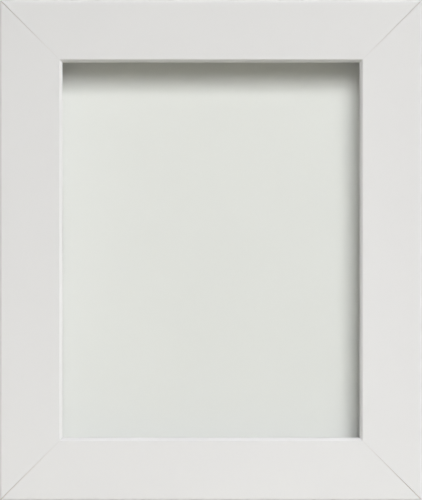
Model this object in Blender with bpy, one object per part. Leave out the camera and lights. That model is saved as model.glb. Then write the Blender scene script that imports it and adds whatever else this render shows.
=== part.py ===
"""A shadow box: a mitred white moulding around glass, spacers, a display card and a back board.

Units are metres and +Z is up. The front faces -Y, and the origin lies under the middle of the bottom rail,
half way through its depth. Left and right are as seen from the front.
"""

import math

import bmesh
import bpy

# The picture size that the box takes, and the room around it in the rebate
PICTURE_WIDTH = 0.2032
PICTURE_HEIGHT = 0.2540
PICTURE_PLAY = 0.0010

# The moulding's section
MOULDING_FACE = 0.0416
MOULDING_DEPTH = 0.0320
LIP_WIDTH = 0.0060
LIP_THICKNESS = 0.0060
OUTER_EDGE_RADIUS = 0.0026
SIGHT_BEVEL = 0.0020
BACK_EDGE_RADIUS = 0.0005

# The stack in the rebate behind the lip
GLASS_THICKNESS = 0.0020
CARD_THICKNESS = 0.0014
BOARD_THICKNESS = 0.0030
SPACER_SETBACK = 0.0002

# Gaps: under a piece that rests on another, round a fastener, and across a mitre
SEAT_GAP = 0.0003
FIT_GAP = 0.00015
MITRE_GAP = 0.0001

# The wedges driven into the back of each mitre
WEDGES_PER_CORNER = 2
WEDGE_ARM = 0.0055
WEDGE_THICKNESS = 0.0006
WEDGE_HEIGHT = 0.0100

# The pan-head wood screws
SCREW_SHANK_RADIUS = 0.00145
SCREW_LENGTH = 0.0125
SCREW_POINT = 0.0030
SCREW_HEAD_RADIUS = 0.0030
SCREW_HEAD_HEIGHT = 0.0020
SCREW_HEAD_RIM = 0.0006
RECESS_SPAN = 0.0030
RECESS_WIDTH = 0.0008
RECESS_DEPTH = 0.0011

# The turn buttons: reach runs from the pivot to the centre of the rounded tip
BUTTON_THICKNESS = 0.0012
BUTTON_HEAD_RADIUS = 0.0050
BUTTON_TIP_RADIUS = 0.0035
BUTTON_REACH = 0.0170
BUTTON_SETBACK = 0.0090
STILE_BUTTON_INSET = 0.0730

# The strap hangers: offsets run from the barrel's axis
STRAP_WIDTH = 0.0090
STRAP_THICKNESS = 0.0014
STRAP_LENGTH = 0.0135
STRAP_SCREW_OFFSET = 0.0063
BARREL_RADIUS = 0.0019
BARREL_PLAY = 0.0003
HANGER_DROP = 0.0700

# The D-rings: the half width is that of the wire's centre line
RING_WIRE_RADIUS = 0.0009
RING_HALF_WIDTH = 0.0080
RING_LEG = 0.0030
RING_CORNER_RADIUS = 0.0020

# The rubber bumpers
BUMPER_RADIUS = 0.0050
BUMPER_HEIGHT = 0.0045
BUMPER_ROUNDING = 0.0018
BUMPER_RISE = 0.0440

# How finely round shapes are cut
EDGE_STEPS = 4
HOLE_SIDES = 16
BUTTON_STEPS = 8
BARREL_SIDES = 16
RING_CORNER_STEPS = 3
RING_BOW_STEPS = 12
RING_BEVEL_RESOLUTION = 2
BUMPER_SIDES = 24

# Places that follow from the sizes
REBATE_WIDTH = PICTURE_WIDTH + 2 * PICTURE_PLAY
REBATE_HEIGHT = PICTURE_HEIGHT + 2 * PICTURE_PLAY
BACK_WIDTH = MOULDING_FACE - LIP_WIDTH
OUTER_WIDTH = REBATE_WIDTH + 2 * BACK_WIDTH
OUTER_HEIGHT = REBATE_HEIGHT + 2 * BACK_WIDTH
REBATE_BOTTOM = BACK_WIDTH
REBATE_TOP = OUTER_HEIGHT - BACK_WIDTH
FRONT = -MOULDING_DEPTH / 2
BACK = MOULDING_DEPTH / 2
GLASS_FRONT = FRONT + LIP_THICKNESS + SEAT_GAP
GLASS_BACK = GLASS_FRONT + GLASS_THICKNESS
BOARD_FRONT = BACK - BOARD_THICKNESS
CARD_BACK = BOARD_FRONT - SEAT_GAP
CARD_FRONT = CARD_BACK - CARD_THICKNESS
SPACER_FRONT = GLASS_BACK + SEAT_GAP
SPACER_BACK = CARD_FRONT - SEAT_GAP
SPACER_WALL = LIP_WIDTH - SEAT_GAP - SPACER_SETBACK
HARDWARE_SEAT = BACK + SEAT_GAP
HOLE_RADIUS = SCREW_SHANK_RADIUS + FIT_GAP
RING_REACH = RING_LEG + RING_HALF_WIDTH
RING_TILT = math.asin((BARREL_RADIUS - RING_WIRE_RADIUS) / RING_REACH)
HANGER_SETBACK = (BACK_WIDTH + RING_REACH + RING_WIRE_RADIUS - STRAP_LENGTH) / 2
HANGER_HEIGHT = OUTER_HEIGHT - HANGER_DROP

# Turns an object made in the XY plane so that its +Z points out of the back
FACING_BACK = -math.pi / 2

# Edges that turn less than this are shaded smooth
SMOOTH_ANGLE = math.radians(35.0)

CORNERS = {
    "top_left": (-1, 1),
    "top_right": (1, 1),
    "bottom_left": (-1, -1),
    "bottom_right": (1, -1),
}


def clear_scene():
    """Removes everything that the start-up scene holds."""
    for item in list(bpy.data.objects):
        bpy.data.objects.remove(item, do_unlink=True)


def make_material(name, colour, roughness, metallic=0.0, transmission=0.0):
    """A Principled material of one colour."""
    material = bpy.data.materials.new(name)
    material.use_nodes = True
    shader = material.node_tree.nodes["Principled BSDF"]
    shader.inputs["Base Color"].default_value = (*colour, 1.0)
    shader.inputs["Roughness"].default_value = roughness
    shader.inputs["Metallic"].default_value = metallic
    shader.inputs["Transmission Weight"].default_value = transmission
    material.diffuse_color = (*colour, 1.0)
    return material


def make_materials():
    """The finishes of the box, by name."""
    return {
        "lacquer": make_material("white_lacquer", (0.80, 0.79, 0.77), 0.45),
        "glass": make_material("clear_glass", (0.90, 0.96, 0.92), 0.02, transmission=1.0),
        "spacer": make_material("grey_board", (0.27, 0.27, 0.26), 0.80),
        "card": make_material("white_card", (0.82, 0.83, 0.80), 0.85),
        "board": make_material("fibreboard", (0.33, 0.21, 0.12), 0.75),
        "zinc": make_material("zinc_plate", (0.62, 0.63, 0.65), 0.35, metallic=1.0),
        "nickel": make_material("nickel_plate", (0.72, 0.70, 0.66), 0.22, metallic=1.0),
        "rubber": make_material("grey_rubber", (0.12, 0.12, 0.12), 0.80),
    }


def arc(centre, radius, start, end, steps):
    """Points of an arc from one angle to another, in degrees, with both ends."""
    points = []
    for step in range(steps + 1):
        angle = math.radians(start + (end - start) * step / steps)
        points.append((centre[0] + radius * math.cos(angle), centre[1] + radius * math.sin(angle)))
    return points


def circle(centre, radius, sides):
    """Points of a closed circle."""
    return arc(centre, radius, 0.0, 360.0, sides)[:-1]


def as_drawn(u, v, level):
    """Places an outline in the XY plane, with its thickness along Z."""
    return (u, v, level)


def on_the_back(u, v, level):
    """Places an outline in the XZ plane, with its thickness along Y."""
    return (u, level, v)


def add_plate(mesh, loops, low, high, place=as_drawn):
    """Adds a flat plate. The first loop is its outline, and any others are holes through it."""
    levels = []
    for level in (low, high):
        rings = [[mesh.verts.new(place(u, v, level)) for u, v in loop] for loop in loops]
        edges = []
        for ring in rings:
            edges += [mesh.edges.new(pair) for pair in zip(ring, ring[1:] + ring[:1])]
        bmesh.ops.triangle_fill(mesh, edges=edges, use_beauty=True)
        levels.append(rings)
    for lower, upper in zip(*levels):
        for index in range(len(lower)):
            following = (index + 1) % len(lower)
            mesh.faces.new((lower[index], lower[following], upper[following], upper[index]))


def add_turned(mesh, profile, sides):
    """Adds a solid turned about Z. The profile runs from the axis back to the axis, as radius and height."""
    first = mesh.verts.new((0.0, 0.0, profile[0][1]))
    last = mesh.verts.new((0.0, 0.0, profile[-1][1]))
    rings = []
    for radius, height in profile[1:-1]:
        rings.append([mesh.verts.new((u, v, height)) for u, v in circle((0.0, 0.0), radius, sides)])
    for index in range(sides):
        following = (index + 1) % sides
        mesh.faces.new((first, rings[0][following], rings[0][index]))
        for lower, upper in zip(rings, rings[1:]):
            mesh.faces.new((lower[index], lower[following], upper[following], upper[index]))
        mesh.faces.new((rings[-1][index], rings[-1][following], last))


def finish_mesh(mesh, name, material=None, smooth=False):
    """Turns a bmesh into mesh data with its faces pointing out."""
    bmesh.ops.recalc_face_normals(mesh, faces=mesh.faces[:])
    data = bpy.data.meshes.new(name)
    mesh.to_mesh(data)
    mesh.free()
    if material:
        data.materials.append(material)
    if smooth:
        data.shade_smooth()
        data.set_sharp_from_angle(angle=SMOOTH_ANGLE)
    return data


def add_object(name, data, parent=None, location=(0.0, 0.0, 0.0), rotation=(0.0, 0.0, 0.0)):
    """Puts mesh or curve data in the scene as a named object."""
    item = bpy.data.objects.new(name, data)
    item.location = location
    item.rotation_euler = rotation
    item.parent = parent
    bpy.context.scene.collection.objects.link(item)
    return item


def add_cutter(name, data):
    """Puts a shape in the scene that only cuts or joins others."""
    cutter = add_object(name, data)
    cutter.hide_render = True
    cutter.display_type = "WIRE"
    return cutter


def combine(target, other, operation):
    """Cuts another object from a target, or joins it to the target."""
    modifier = target.modifiers.new(operation.lower(), "BOOLEAN")
    modifier.operation = operation
    modifier.solver = "EXACT"
    modifier.object = other


def combined_mesh(name, base, other, operation, material):
    """One mesh made from two, for a piece that is used several times."""
    target = add_object(name + "_base", base)
    helper = add_object(name + "_helper", other)
    combine(target, helper, operation)
    evaluated = target.evaluated_get(bpy.context.evaluated_depsgraph_get())
    data = bpy.data.meshes.new_from_object(evaluated)
    data.name = name
    for item in (target, helper):
        bpy.data.objects.remove(item, do_unlink=True)
    data.materials.clear()
    data.materials.append(material)
    data.shade_smooth()
    data.set_sharp_from_angle(angle=SMOOTH_ANGLE)
    return data


def moulding_section():
    """The moulding's section as (distance in from the outer edge, place along Y)."""
    section = arc((OUTER_EDGE_RADIUS, FRONT + OUTER_EDGE_RADIUS), OUTER_EDGE_RADIUS, 180.0, 270.0, EDGE_STEPS)
    section += [
        (MOULDING_FACE - SIGHT_BEVEL, FRONT),
        (MOULDING_FACE, FRONT + SIGHT_BEVEL),
        (MOULDING_FACE, FRONT + LIP_THICKNESS),
        (BACK_WIDTH, FRONT + LIP_THICKNESS),
        (BACK_WIDTH, BACK),
    ]
    section += arc((BACK_EDGE_RADIUS, BACK - BACK_EDGE_RADIUS), BACK_EDGE_RADIUS, 90.0, 180.0, EDGE_STEPS)
    return section


def rail_mesh(name, outer_length, material):
    """A length of moulding along X, mitred at both ends, with its outer edge on Z = 0."""
    mesh = bmesh.new()
    section = moulding_section()
    cut_back = MITRE_GAP / math.sqrt(2.0)
    ends = []
    for side in (-1, 1):
        ring = []
        for inward, depth in section:
            along = outer_length / 2 - inward - cut_back
            ring.append(mesh.verts.new((side * along, depth, inward)))
        mesh.faces.new(ring)
        ends.append(ring)
    left, right = ends
    for index in range(len(section)):
        following = (index + 1) % len(section)
        mesh.faces.new((left[index], left[following], right[following], right[index]))
    return finish_mesh(mesh, name, material)


def wedge_outline(corner, place, margin):
    """The angle-shaped outline of one wedge, grown by a margin, with its corner on the mitre."""
    across, up = CORNERS[corner]
    corner_x = across * OUTER_WIDTH / 2
    corner_z = OUTER_HEIGHT if up > 0 else 0.0
    inset = BACK_WIDTH * (place + 0.5) / WEDGES_PER_CORNER - WEDGE_ARM / 2
    low = inset - margin
    inner = inset + WEDGE_THICKNESS + margin
    tip = inset + WEDGE_ARM + margin
    steps = ((low, low), (tip, low), (tip, inner), (inner, inner), (inner, tip), (low, tip))
    return [(corner_x - across * a, corner_z - up * b) for a, b in steps]


def turn_buttons():
    """For each turn button: its rail, the pivot's X and Z, and the turn about Y that points it at the board."""
    side = REBATE_WIDTH / 2 + BUTTON_SETBACK
    upper = REBATE_TOP - STILE_BUTTON_INSET
    lower = REBATE_BOTTOM + STILE_BUTTON_INSET
    quarter = math.pi / 2
    return {
        "left_upper": ("left_stile", -side, upper, 0.0),
        "left_lower": ("left_stile", -side, lower, 0.0),
        "right_upper": ("right_stile", side, upper, 2 * quarter),
        "right_lower": ("right_stile", side, lower, 2 * quarter),
        "top": ("top_rail", 0.0, REBATE_TOP + BUTTON_SETBACK, quarter),
        "bottom": ("bottom_rail", 0.0, REBATE_BOTTOM - BUTTON_SETBACK, -quarter),
    }


def hangers():
    """For each strap hanger: its rail, its barrel's X, and the turn about Y that points its ring inwards."""
    side = REBATE_WIDTH / 2 + HANGER_SETBACK
    return {
        "left": ("left_stile", -side, 0.0),
        "right": ("right_stile", side, math.pi),
    }


def hanger_screw_place(barrel_x):
    """The X of a hanger's screw, which lies further out than its barrel."""
    return barrel_x + math.copysign(STRAP_SCREW_OFFSET, barrel_x)


def screw_holes(rail):
    """The X and Z of each screw in a rail, with how far its head stands off the back."""
    holes = []
    for seat, x, z, _ in turn_buttons().values():
        if seat == rail:
            holes.append((x, z, BUTTON_THICKNESS))
    for seat, x, _ in hangers().values():
        if seat == rail:
            holes.append((hanger_screw_place(x), HANGER_HEIGHT, STRAP_THICKNESS))
    return holes


def screw_seat(plate_thickness):
    """The place along Y of the underside of a screw head that holds a plate."""
    return HARDWARE_SEAT + plate_thickness + SEAT_GAP


def add_rail(name, corners, outer_length, location, turn, material, parent):
    """A rail or stile with the slots for its wedges and the holes for its screws."""
    rail = add_object(name, rail_mesh(name, outer_length, material), parent, location, (0.0, turn, 0.0))
    pockets = bmesh.new()
    slot_floor = BACK - WEDGE_HEIGHT - FIT_GAP
    past_back = BACK + MOULDING_DEPTH / 2
    for corner in corners:
        for place in range(WEDGES_PER_CORNER):
            outline = wedge_outline(corner, place, FIT_GAP)
            add_plate(pockets, [outline], slot_floor, past_back, on_the_back)
    for x, z, plate_thickness in screw_holes(rail.name):
        hole_floor = screw_seat(plate_thickness) - SCREW_LENGTH - FIT_GAP
        outline = circle((x, z), HOLE_RADIUS, HOLE_SIDES)
        add_plate(pockets, [outline], hole_floor, past_back, on_the_back)
    cutter = add_cutter(name + "_pockets", finish_mesh(pockets, name + "_pockets"))
    combine(rail, cutter, "DIFFERENCE")


def add_moulding(materials, parent):
    """The four mitred lengths of moulding."""
    quarter = math.pi / 2
    middle = OUTER_HEIGHT / 2
    side = OUTER_WIDTH / 2
    rails = (
        ("top_rail", ("top_left", "top_right"), OUTER_WIDTH, (0.0, 0.0, OUTER_HEIGHT), 2 * quarter),
        ("bottom_rail", ("bottom_left", "bottom_right"), OUTER_WIDTH, (0.0, 0.0, 0.0), 0.0),
        ("left_stile", ("top_left", "bottom_left"), OUTER_HEIGHT, (-side, 0.0, middle), quarter),
        ("right_stile", ("top_right", "bottom_right"), OUTER_HEIGHT, (side, 0.0, middle), -quarter),
    )
    for name, corners, outer_length, location, turn in rails:
        add_rail(name, corners, outer_length, location, turn, materials["lacquer"], parent)


def add_wedges(materials, parent):
    """The steel wedges that hold each mitre together, driven in flush with the back."""
    for corner in CORNERS:
        for place in range(WEDGES_PER_CORNER):
            name = f"corner_wedge_{corner}_{place + 1}"
            mesh = bmesh.new()
            add_plate(mesh, [wedge_outline(corner, place, 0.0)], BACK - WEDGE_HEIGHT, BACK, on_the_back)
            add_object(name, finish_mesh(mesh, name, materials["zinc"]), parent)


def add_slab(name, x_span, y_span, z_span, material, parent):
    """A rectangular piece between two places on each axis, with its origin at its middle."""
    middle = [(low + high) / 2 for low, high in (x_span, y_span, z_span)]
    half_x = (x_span[1] - x_span[0]) / 2
    half_y = (y_span[1] - y_span[0]) / 2
    half_z = (z_span[1] - z_span[0]) / 2
    outline = [(-half_x, -half_z), (half_x, -half_z), (half_x, half_z), (-half_x, half_z)]
    mesh = bmesh.new()
    add_plate(mesh, [outline], -half_y, half_y, on_the_back)
    add_object(name, finish_mesh(mesh, name, material), parent, middle)


def add_sheets(materials, parent):
    """The glass, the card and the board, cut to the picture size and standing on the bottom rail."""
    x_span = (-PICTURE_WIDTH / 2, PICTURE_WIDTH / 2)
    z_span = (REBATE_BOTTOM + SEAT_GAP, REBATE_BOTTOM + SEAT_GAP + PICTURE_HEIGHT)
    add_slab("glass_pane", x_span, (GLASS_FRONT, GLASS_BACK), z_span, materials["glass"], parent)
    add_slab("display_card", x_span, (CARD_FRONT, CARD_BACK), z_span, materials["card"], parent)
    add_slab("back_board", x_span, (BOARD_FRONT, BACK), z_span, materials["board"], parent)


def add_spacers(materials, parent):
    """The fillets round the rebate that hold the card off the glass."""
    material = materials["spacer"]
    depth = (SPACER_FRONT, SPACER_BACK)
    outer_x = REBATE_WIDTH / 2 - SEAT_GAP
    inner_x = outer_x - SPACER_WALL
    low_z = REBATE_BOTTOM + SEAT_GAP
    high_z = REBATE_TOP - SEAT_GAP
    across = (-outer_x, outer_x)
    between = (low_z + SPACER_WALL + SEAT_GAP, high_z - SPACER_WALL - SEAT_GAP)
    add_slab("bottom_spacer", across, depth, (low_z, low_z + SPACER_WALL), material, parent)
    add_slab("top_spacer", across, depth, (high_z - SPACER_WALL, high_z), material, parent)
    add_slab("left_spacer", (-outer_x, -inner_x), depth, between, material, parent)
    add_slab("right_spacer", (inner_x, outer_x), depth, between, material, parent)


def screw_mesh(material):
    """A pan-head wood screw with a cross recess. Z = 0 is the underside of its head."""
    dome_height = SCREW_HEAD_HEIGHT - SCREW_HEAD_RIM
    profile = [
        (0.0, -SCREW_LENGTH),
        (SCREW_SHANK_RADIUS, SCREW_POINT - SCREW_LENGTH),
        (SCREW_SHANK_RADIUS, 0.0),
        (SCREW_HEAD_RADIUS, 0.0),
    ]
    for u, v in arc((0.0, 0.0), 1.0, 0.0, 90.0, EDGE_STEPS):
        profile.append((SCREW_HEAD_RADIUS * u, SCREW_HEAD_RIM + dome_height * v))
    body = bmesh.new()
    add_turned(body, profile, HOLE_SIDES)
    long, short = RECESS_SPAN / 2, RECESS_WIDTH / 2
    quarter = ((long, -short), (long, short), (short, short))
    cross = list(quarter)
    for _ in range(3):
        cross += [(-v, u) for u, v in cross[-3:]]
    recess = bmesh.new()
    add_plate(recess, [cross], SCREW_HEAD_HEIGHT - RECESS_DEPTH, SCREW_HEAD_HEIGHT + RECESS_DEPTH)
    shape = finish_mesh(body, "screw_body")
    return combined_mesh("pan_head_screw", shape, finish_mesh(recess, "screw_recess"), "DIFFERENCE", material)


def button_mesh(material):
    """A teardrop turn button with its pivot hole at the origin and its tip along +X."""
    lean = math.degrees(math.acos((BUTTON_HEAD_RADIUS - BUTTON_TIP_RADIUS) / BUTTON_REACH))
    outline = arc((0.0, 0.0), BUTTON_HEAD_RADIUS, lean, 360.0 - lean, 2 * BUTTON_STEPS)
    outline += arc((BUTTON_REACH, 0.0), BUTTON_TIP_RADIUS, -lean, lean, BUTTON_STEPS)
    hole = circle((0.0, 0.0), HOLE_RADIUS, HOLE_SIDES)
    mesh = bmesh.new()
    add_plate(mesh, [outline, hole], 0.0, BUTTON_THICKNESS)
    return finish_mesh(mesh, "turn_button", material, smooth=True)


def add_turn_buttons(materials, parent, screw):
    """The turn buttons, each on its screw."""
    button = button_mesh(materials["zinc"])
    for place, (_, x, z, turn) in turn_buttons().items():
        rotation = (FACING_BACK, turn, 0.0)
        add_object("turn_button_" + place, button, parent, (x, HARDWARE_SEAT, z), rotation)
        seat = (x, screw_seat(BUTTON_THICKNESS), z)
        add_object("turn_button_screw_" + place, screw, parent, seat, rotation)


def strap_mesh(material):
    """A strap hanger: a plate with a round end and a screw hole, rolled into a barrel about the Y axis."""
    half = STRAP_WIDTH / 2
    root = -(BARREL_RADIUS + RING_WIRE_RADIUS + BARREL_PLAY) / 2 - BARREL_PLAY / 2
    outline = [(root, -half), (root, half)]
    outline += arc((half - STRAP_LENGTH, 0.0), half, 90.0, 270.0, BUTTON_STEPS)
    hole = circle((-STRAP_SCREW_OFFSET, 0.0), HOLE_RADIUS, HOLE_SIDES)
    plate = bmesh.new()
    add_plate(plate, [outline, hole], 0.0, STRAP_THICKNESS)
    outer = circle((0.0, BARREL_RADIUS), BARREL_RADIUS, BARREL_SIDES)
    bore = circle((0.0, BARREL_RADIUS), RING_WIRE_RADIUS + BARREL_PLAY, BARREL_SIDES)
    barrel = bmesh.new()
    add_plate(barrel, [outer, bore], -half, half, on_the_back)
    shape = finish_mesh(plate, "strap_plate")
    return combined_mesh("hanger_strap", shape, finish_mesh(barrel, "strap_barrel"), "UNION", material)


def ring_curve(material):
    """A D-ring of round wire. Its bar lies along Y through the origin, and its bow hangs towards the stile."""
    corner = RING_CORNER_RADIUS
    straight = RING_HALF_WIDTH - corner
    flat = arc((corner, -straight), corner, 180.0, 270.0, RING_CORNER_STEPS)
    flat += arc((RING_LEG, 0.0), RING_HALF_WIDTH, -90.0, 90.0, RING_BOW_STEPS)
    flat += arc((corner, straight), corner, 90.0, 180.0, RING_CORNER_STEPS)
    curve = bpy.data.curves.new("hanger_ring", "CURVE")
    curve.dimensions = "3D"
    curve.bevel_depth = RING_WIRE_RADIUS
    curve.bevel_resolution = RING_BEVEL_RESOLUTION
    spline = curve.splines.new("POLY")
    spline.points.add(len(flat) - 1)
    for point, (reach, along) in zip(spline.points, flat):
        point.co = (reach * math.cos(RING_TILT), along, -reach * math.sin(RING_TILT), 1.0)
    spline.use_cyclic_u = True
    curve.materials.append(material)
    return curve


def add_hangers(materials, parent, screw):
    """The strap hangers with their screws and D-rings."""
    strap = strap_mesh(materials["nickel"])
    ring = ring_curve(materials["nickel"])
    for place, (_, x, turn) in hangers().items():
        rotation = (FACING_BACK, turn, 0.0)
        add_object("hanger_strap_" + place, strap, parent, (x, HARDWARE_SEAT, HANGER_HEIGHT), rotation)
        axis = (x, HARDWARE_SEAT + BARREL_RADIUS, HANGER_HEIGHT)
        add_object("hanger_ring_" + place, ring, parent, axis, rotation)
        seat = (hanger_screw_place(x), screw_seat(STRAP_THICKNESS), HANGER_HEIGHT)
        add_object("hanger_screw_" + place, screw, parent, seat, rotation)


def add_bumpers(materials, parent):
    """The rubber bumpers that keep the foot of the box off the wall."""
    rounding_centre = (BUMPER_RADIUS - BUMPER_ROUNDING, BUMPER_HEIGHT - BUMPER_ROUNDING)
    profile = [(0.0, 0.0), (BUMPER_RADIUS, 0.0)]
    profile += arc(rounding_centre, BUMPER_ROUNDING, 0.0, 90.0, EDGE_STEPS)
    profile.append((0.0, BUMPER_HEIGHT))
    mesh = bmesh.new()
    add_turned(mesh, profile, BUMPER_SIDES)
    bumper = finish_mesh(mesh, "wall_bumper", materials["rubber"], smooth=True)
    side = OUTER_WIDTH / 2 - BACK_WIDTH / 2
    for place, x in (("left", -side), ("right", side)):
        location = (x, HARDWARE_SEAT, BUMPER_RISE)
        add_object("wall_bumper_" + place, bumper, parent, location, (FACING_BACK, 0.0, 0.0))


def main():
    """Builds the whole box under one empty."""
    clear_scene()
    materials = make_materials()
    shadow_box = add_object("shadow_box", None)
    add_moulding(materials, shadow_box)
    add_wedges(materials, shadow_box)
    add_sheets(materials, shadow_box)
    add_spacers(materials, shadow_box)
    screw = screw_mesh(materials["zinc"])
    add_turn_buttons(materials, shadow_box, screw)
    add_hangers(materials, shadow_box, screw)
    add_bumpers(materials, shadow_box)


if __name__ == "__main__":
    main()
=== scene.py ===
"""Looks of the shadow box: fine shapes, finishes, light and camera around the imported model.

Units are metres and +Z is up. The glass faces -Y, and left and right are as seen from the front.
"""

import logging
import math
from dataclasses import dataclass
from enum import Enum

import bmesh
import bpy
from mathutils import Matrix, Vector


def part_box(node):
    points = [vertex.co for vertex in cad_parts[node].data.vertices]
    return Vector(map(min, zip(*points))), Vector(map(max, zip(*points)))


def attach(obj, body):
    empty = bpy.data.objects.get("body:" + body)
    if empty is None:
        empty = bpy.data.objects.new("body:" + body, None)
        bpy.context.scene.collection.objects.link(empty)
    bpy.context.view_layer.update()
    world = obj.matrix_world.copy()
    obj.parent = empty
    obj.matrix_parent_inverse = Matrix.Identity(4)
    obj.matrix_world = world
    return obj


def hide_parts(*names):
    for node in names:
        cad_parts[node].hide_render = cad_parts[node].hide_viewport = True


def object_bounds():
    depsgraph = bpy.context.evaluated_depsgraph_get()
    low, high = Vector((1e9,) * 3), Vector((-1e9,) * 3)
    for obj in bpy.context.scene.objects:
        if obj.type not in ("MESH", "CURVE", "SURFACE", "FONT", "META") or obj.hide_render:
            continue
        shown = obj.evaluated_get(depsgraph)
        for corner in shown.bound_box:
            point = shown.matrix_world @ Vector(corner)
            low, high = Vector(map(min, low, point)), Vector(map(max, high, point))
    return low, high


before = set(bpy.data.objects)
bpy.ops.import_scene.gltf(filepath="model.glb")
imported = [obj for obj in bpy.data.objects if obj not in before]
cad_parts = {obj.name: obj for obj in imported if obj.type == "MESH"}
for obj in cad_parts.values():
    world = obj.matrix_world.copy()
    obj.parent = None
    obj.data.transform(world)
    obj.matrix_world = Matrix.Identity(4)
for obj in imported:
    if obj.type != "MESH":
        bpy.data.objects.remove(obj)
CAD_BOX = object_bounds()

LOG = logging.getLogger("shadow_box")

Point = tuple[float, float]
Outline = list[Point]
Spot = tuple[float, float, float]
Colour = tuple[float, float, float]
BMesh = bmesh.types.BMesh
Ring = list[bmesh.types.BMVert]
Mesh = bpy.types.Mesh
Material = bpy.types.Material
Tree = bpy.types.NodeTree
Node = bpy.types.Node
Socket = bpy.types.NodeSocket
Value = Socket | float
Tone = Socket | Colour

BOX_BODY = "frame"
QUARTER_TURN = math.pi / 2
FACING_BACK = -QUARTER_TURN
SHARP_ANGLE = math.radians(32.0)
AXIS = (0.0, 0.0)
HOLE_SIDES = 32

# Keeps a very sharp corner from shooting out when its outline is drawn in
SPIKE_LIMIT = 0.5


class Turned(Enum):
    """Pieces that stand round the box: each value ends with the turn about Y, in quarter turns."""

    @property
    def turn(self) -> float:
        """The turn about Y."""
        return self.value[-1] * QUARTER_TURN


class Rail(Turned):
    """The four lengths of moulding: each one's node, and its turn from the bottom rail."""

    BOTTOM = ("bottom_rail", 0)
    LEFT = ("left_stile", 1)
    TOP = ("top_rail", 2)
    RIGHT = ("right_stile", 3)

    @property
    def node(self) -> str:
        """The CAD node of this rail."""
        return self.value[0]

    @property
    def upright(self) -> bool:
        """Whether this is one of the stiles."""
        return self in (Rail.LEFT, Rail.RIGHT)


class Corner(Turned):
    """The four mitres: which way each lies from the middle, and its turn from the bottom left."""

    BOTTOM_LEFT = (-1, -1, 0)
    TOP_LEFT = (-1, 1, 1)
    TOP_RIGHT = (1, 1, 2)
    BOTTOM_RIGHT = (1, -1, 3)


class Button(Turned):
    """The turn buttons: the ending of each one's name, and the turn that points it at the board."""

    LEFT_UPPER = ("left_upper", 0)
    LEFT_LOWER = ("left_lower", 0)
    RIGHT_UPPER = ("right_upper", 2)
    RIGHT_LOWER = ("right_lower", 2)
    TOP = ("top", 1)
    BOTTOM = ("bottom", -1)

    @property
    def node(self) -> str:
        """The CAD node of this button, which is also its body."""
        return "turn_button_" + self.value[0]

    @property
    def screw(self) -> str:
        """The CAD node of its screw."""
        return "turn_button_screw_" + self.value[0]


class Hanger(Turned):
    """The strap hangers: the ending of each one's name, its screw's turn, and its own turn."""

    LEFT = ("left", 0.6, 0)
    RIGHT = ("right", 2.1, 2)

    def node(self, piece: str) -> str:
        """The CAD node of its strap, ring or screw."""
        return f"hanger_{piece}_{self.value[0]}"

    @property
    def screw_turn(self) -> float:
        """How far its screw happens to be driven round, in radians."""
        return self.value[1]


class Skin(Enum):
    """The two surfaces of the moulding, as places in its list of materials."""

    LACQUERED = 0
    BARE = 1


class Joining(Enum):
    """How one mesh is combined with another."""

    CUT = "DIFFERENCE"
    FUSE = "UNION"


class Grain(Enum):
    """Where a finish reads its pattern from."""

    SOLID = "Object"
    ALONG_PIECE = "UV"


class Ray(Enum):
    """What a ray of light is on its way to."""

    CAMERA = "Is Camera Ray"
    SHADOW = "Is Shadow Ray"
    DIFFUSE = "Is Diffuse Ray"
    GLOSSY = "Is Glossy Ray"


class TreeKind(Enum):
    """What a node group works on."""

    SHADER = "ShaderNodeTree"
    GEOMETRY = "GeometryNodeTree"


@dataclass(frozen=True)
class Place:
    """A spot on the back of the box.

    Attributes:
        at: The spot, in the frame of the box.
        turn: The turn about Y of what stands there.
    """

    at: Vector
    turn: float = 0.0

    def matrix(self) -> Matrix:
        """Carries a shape drawn in the XY plane, with +Z outwards, to this spot."""
        turned = Matrix.Rotation(self.turn, 4, "Y") @ Matrix.Rotation(FACING_BACK, 4, "X")
        return Matrix.Translation(self.at) @ turned


def size_of(node: str) -> Vector:
    """The size of a CAD node's box."""
    low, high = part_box(node)
    return high - low


def seated(node: str, depth: float) -> Vector:
    """The middle of a CAD node as seen from behind, at a depth along Y."""
    low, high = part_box(node)
    return Vector(((low.x + high.x) / 2, depth, (low.z + high.z) / 2))


def arc(centre: Point, radius: float, start: float, end: float, steps: int) -> Outline:
    """Draws an arc with both of its ends.

    Args:
        centre: The arc's centre.
        radius: The arc's radius.
        start: The first angle, in degrees.
        end: The last angle, in degrees.
        steps: How many straight steps stand for the arc.

    Returns:
        The points of the arc.
    """
    points = []
    for step in range(steps + 1):
        angle = math.radians(start + (end - start) * step / steps)
        points.append((centre[0] + radius * math.cos(angle), centre[1] + radius * math.sin(angle)))
    return points


def circle(centre: Point, radius: float, sides: int) -> Outline:
    """Draws a closed circle as a ring of points."""
    return arc(centre, radius, 0.0, 360.0, sides)[:-1]


def drawn_in(outline: Outline, distance: float) -> Outline:
    """Moves each side of a closed anticlockwise outline inwards.

    Args:
        outline: The points of the outline.
        distance: How far each side moves in.

    Returns:
        The points of the smaller outline, in the same order.
    """
    moved = []
    for before, here, after in zip(outline[-1:] + outline, outline, outline[1:] + outline[:1]):
        arriving = (Vector(here) - Vector(before)).normalized()
        leaving = (Vector(after) - Vector(here)).normalized()
        along = arriving + leaving
        bisector = Vector((-along.y, along.x))
        reach = distance * 2.0 / max(bisector.length_squared, SPIKE_LIMIT)
        moved.append(tuple(Vector(here) + bisector * reach))
    return moved


def add_ring(mesh: BMesh, outline: Outline, height: float) -> Ring:
    """Adds the points of an outline at a height."""
    return [mesh.verts.new((u, v, height)) for u, v in outline]


def add_band(mesh: BMesh, lower: Ring, upper: Ring) -> list[bmesh.types.BMFace]:
    """Joins two rings of points by a band of faces, one for each point, in their order."""
    corners = zip(lower, lower[1:] + lower[:1], upper[1:] + upper[:1], upper)
    return [mesh.faces.new(face) for face in corners]


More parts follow.
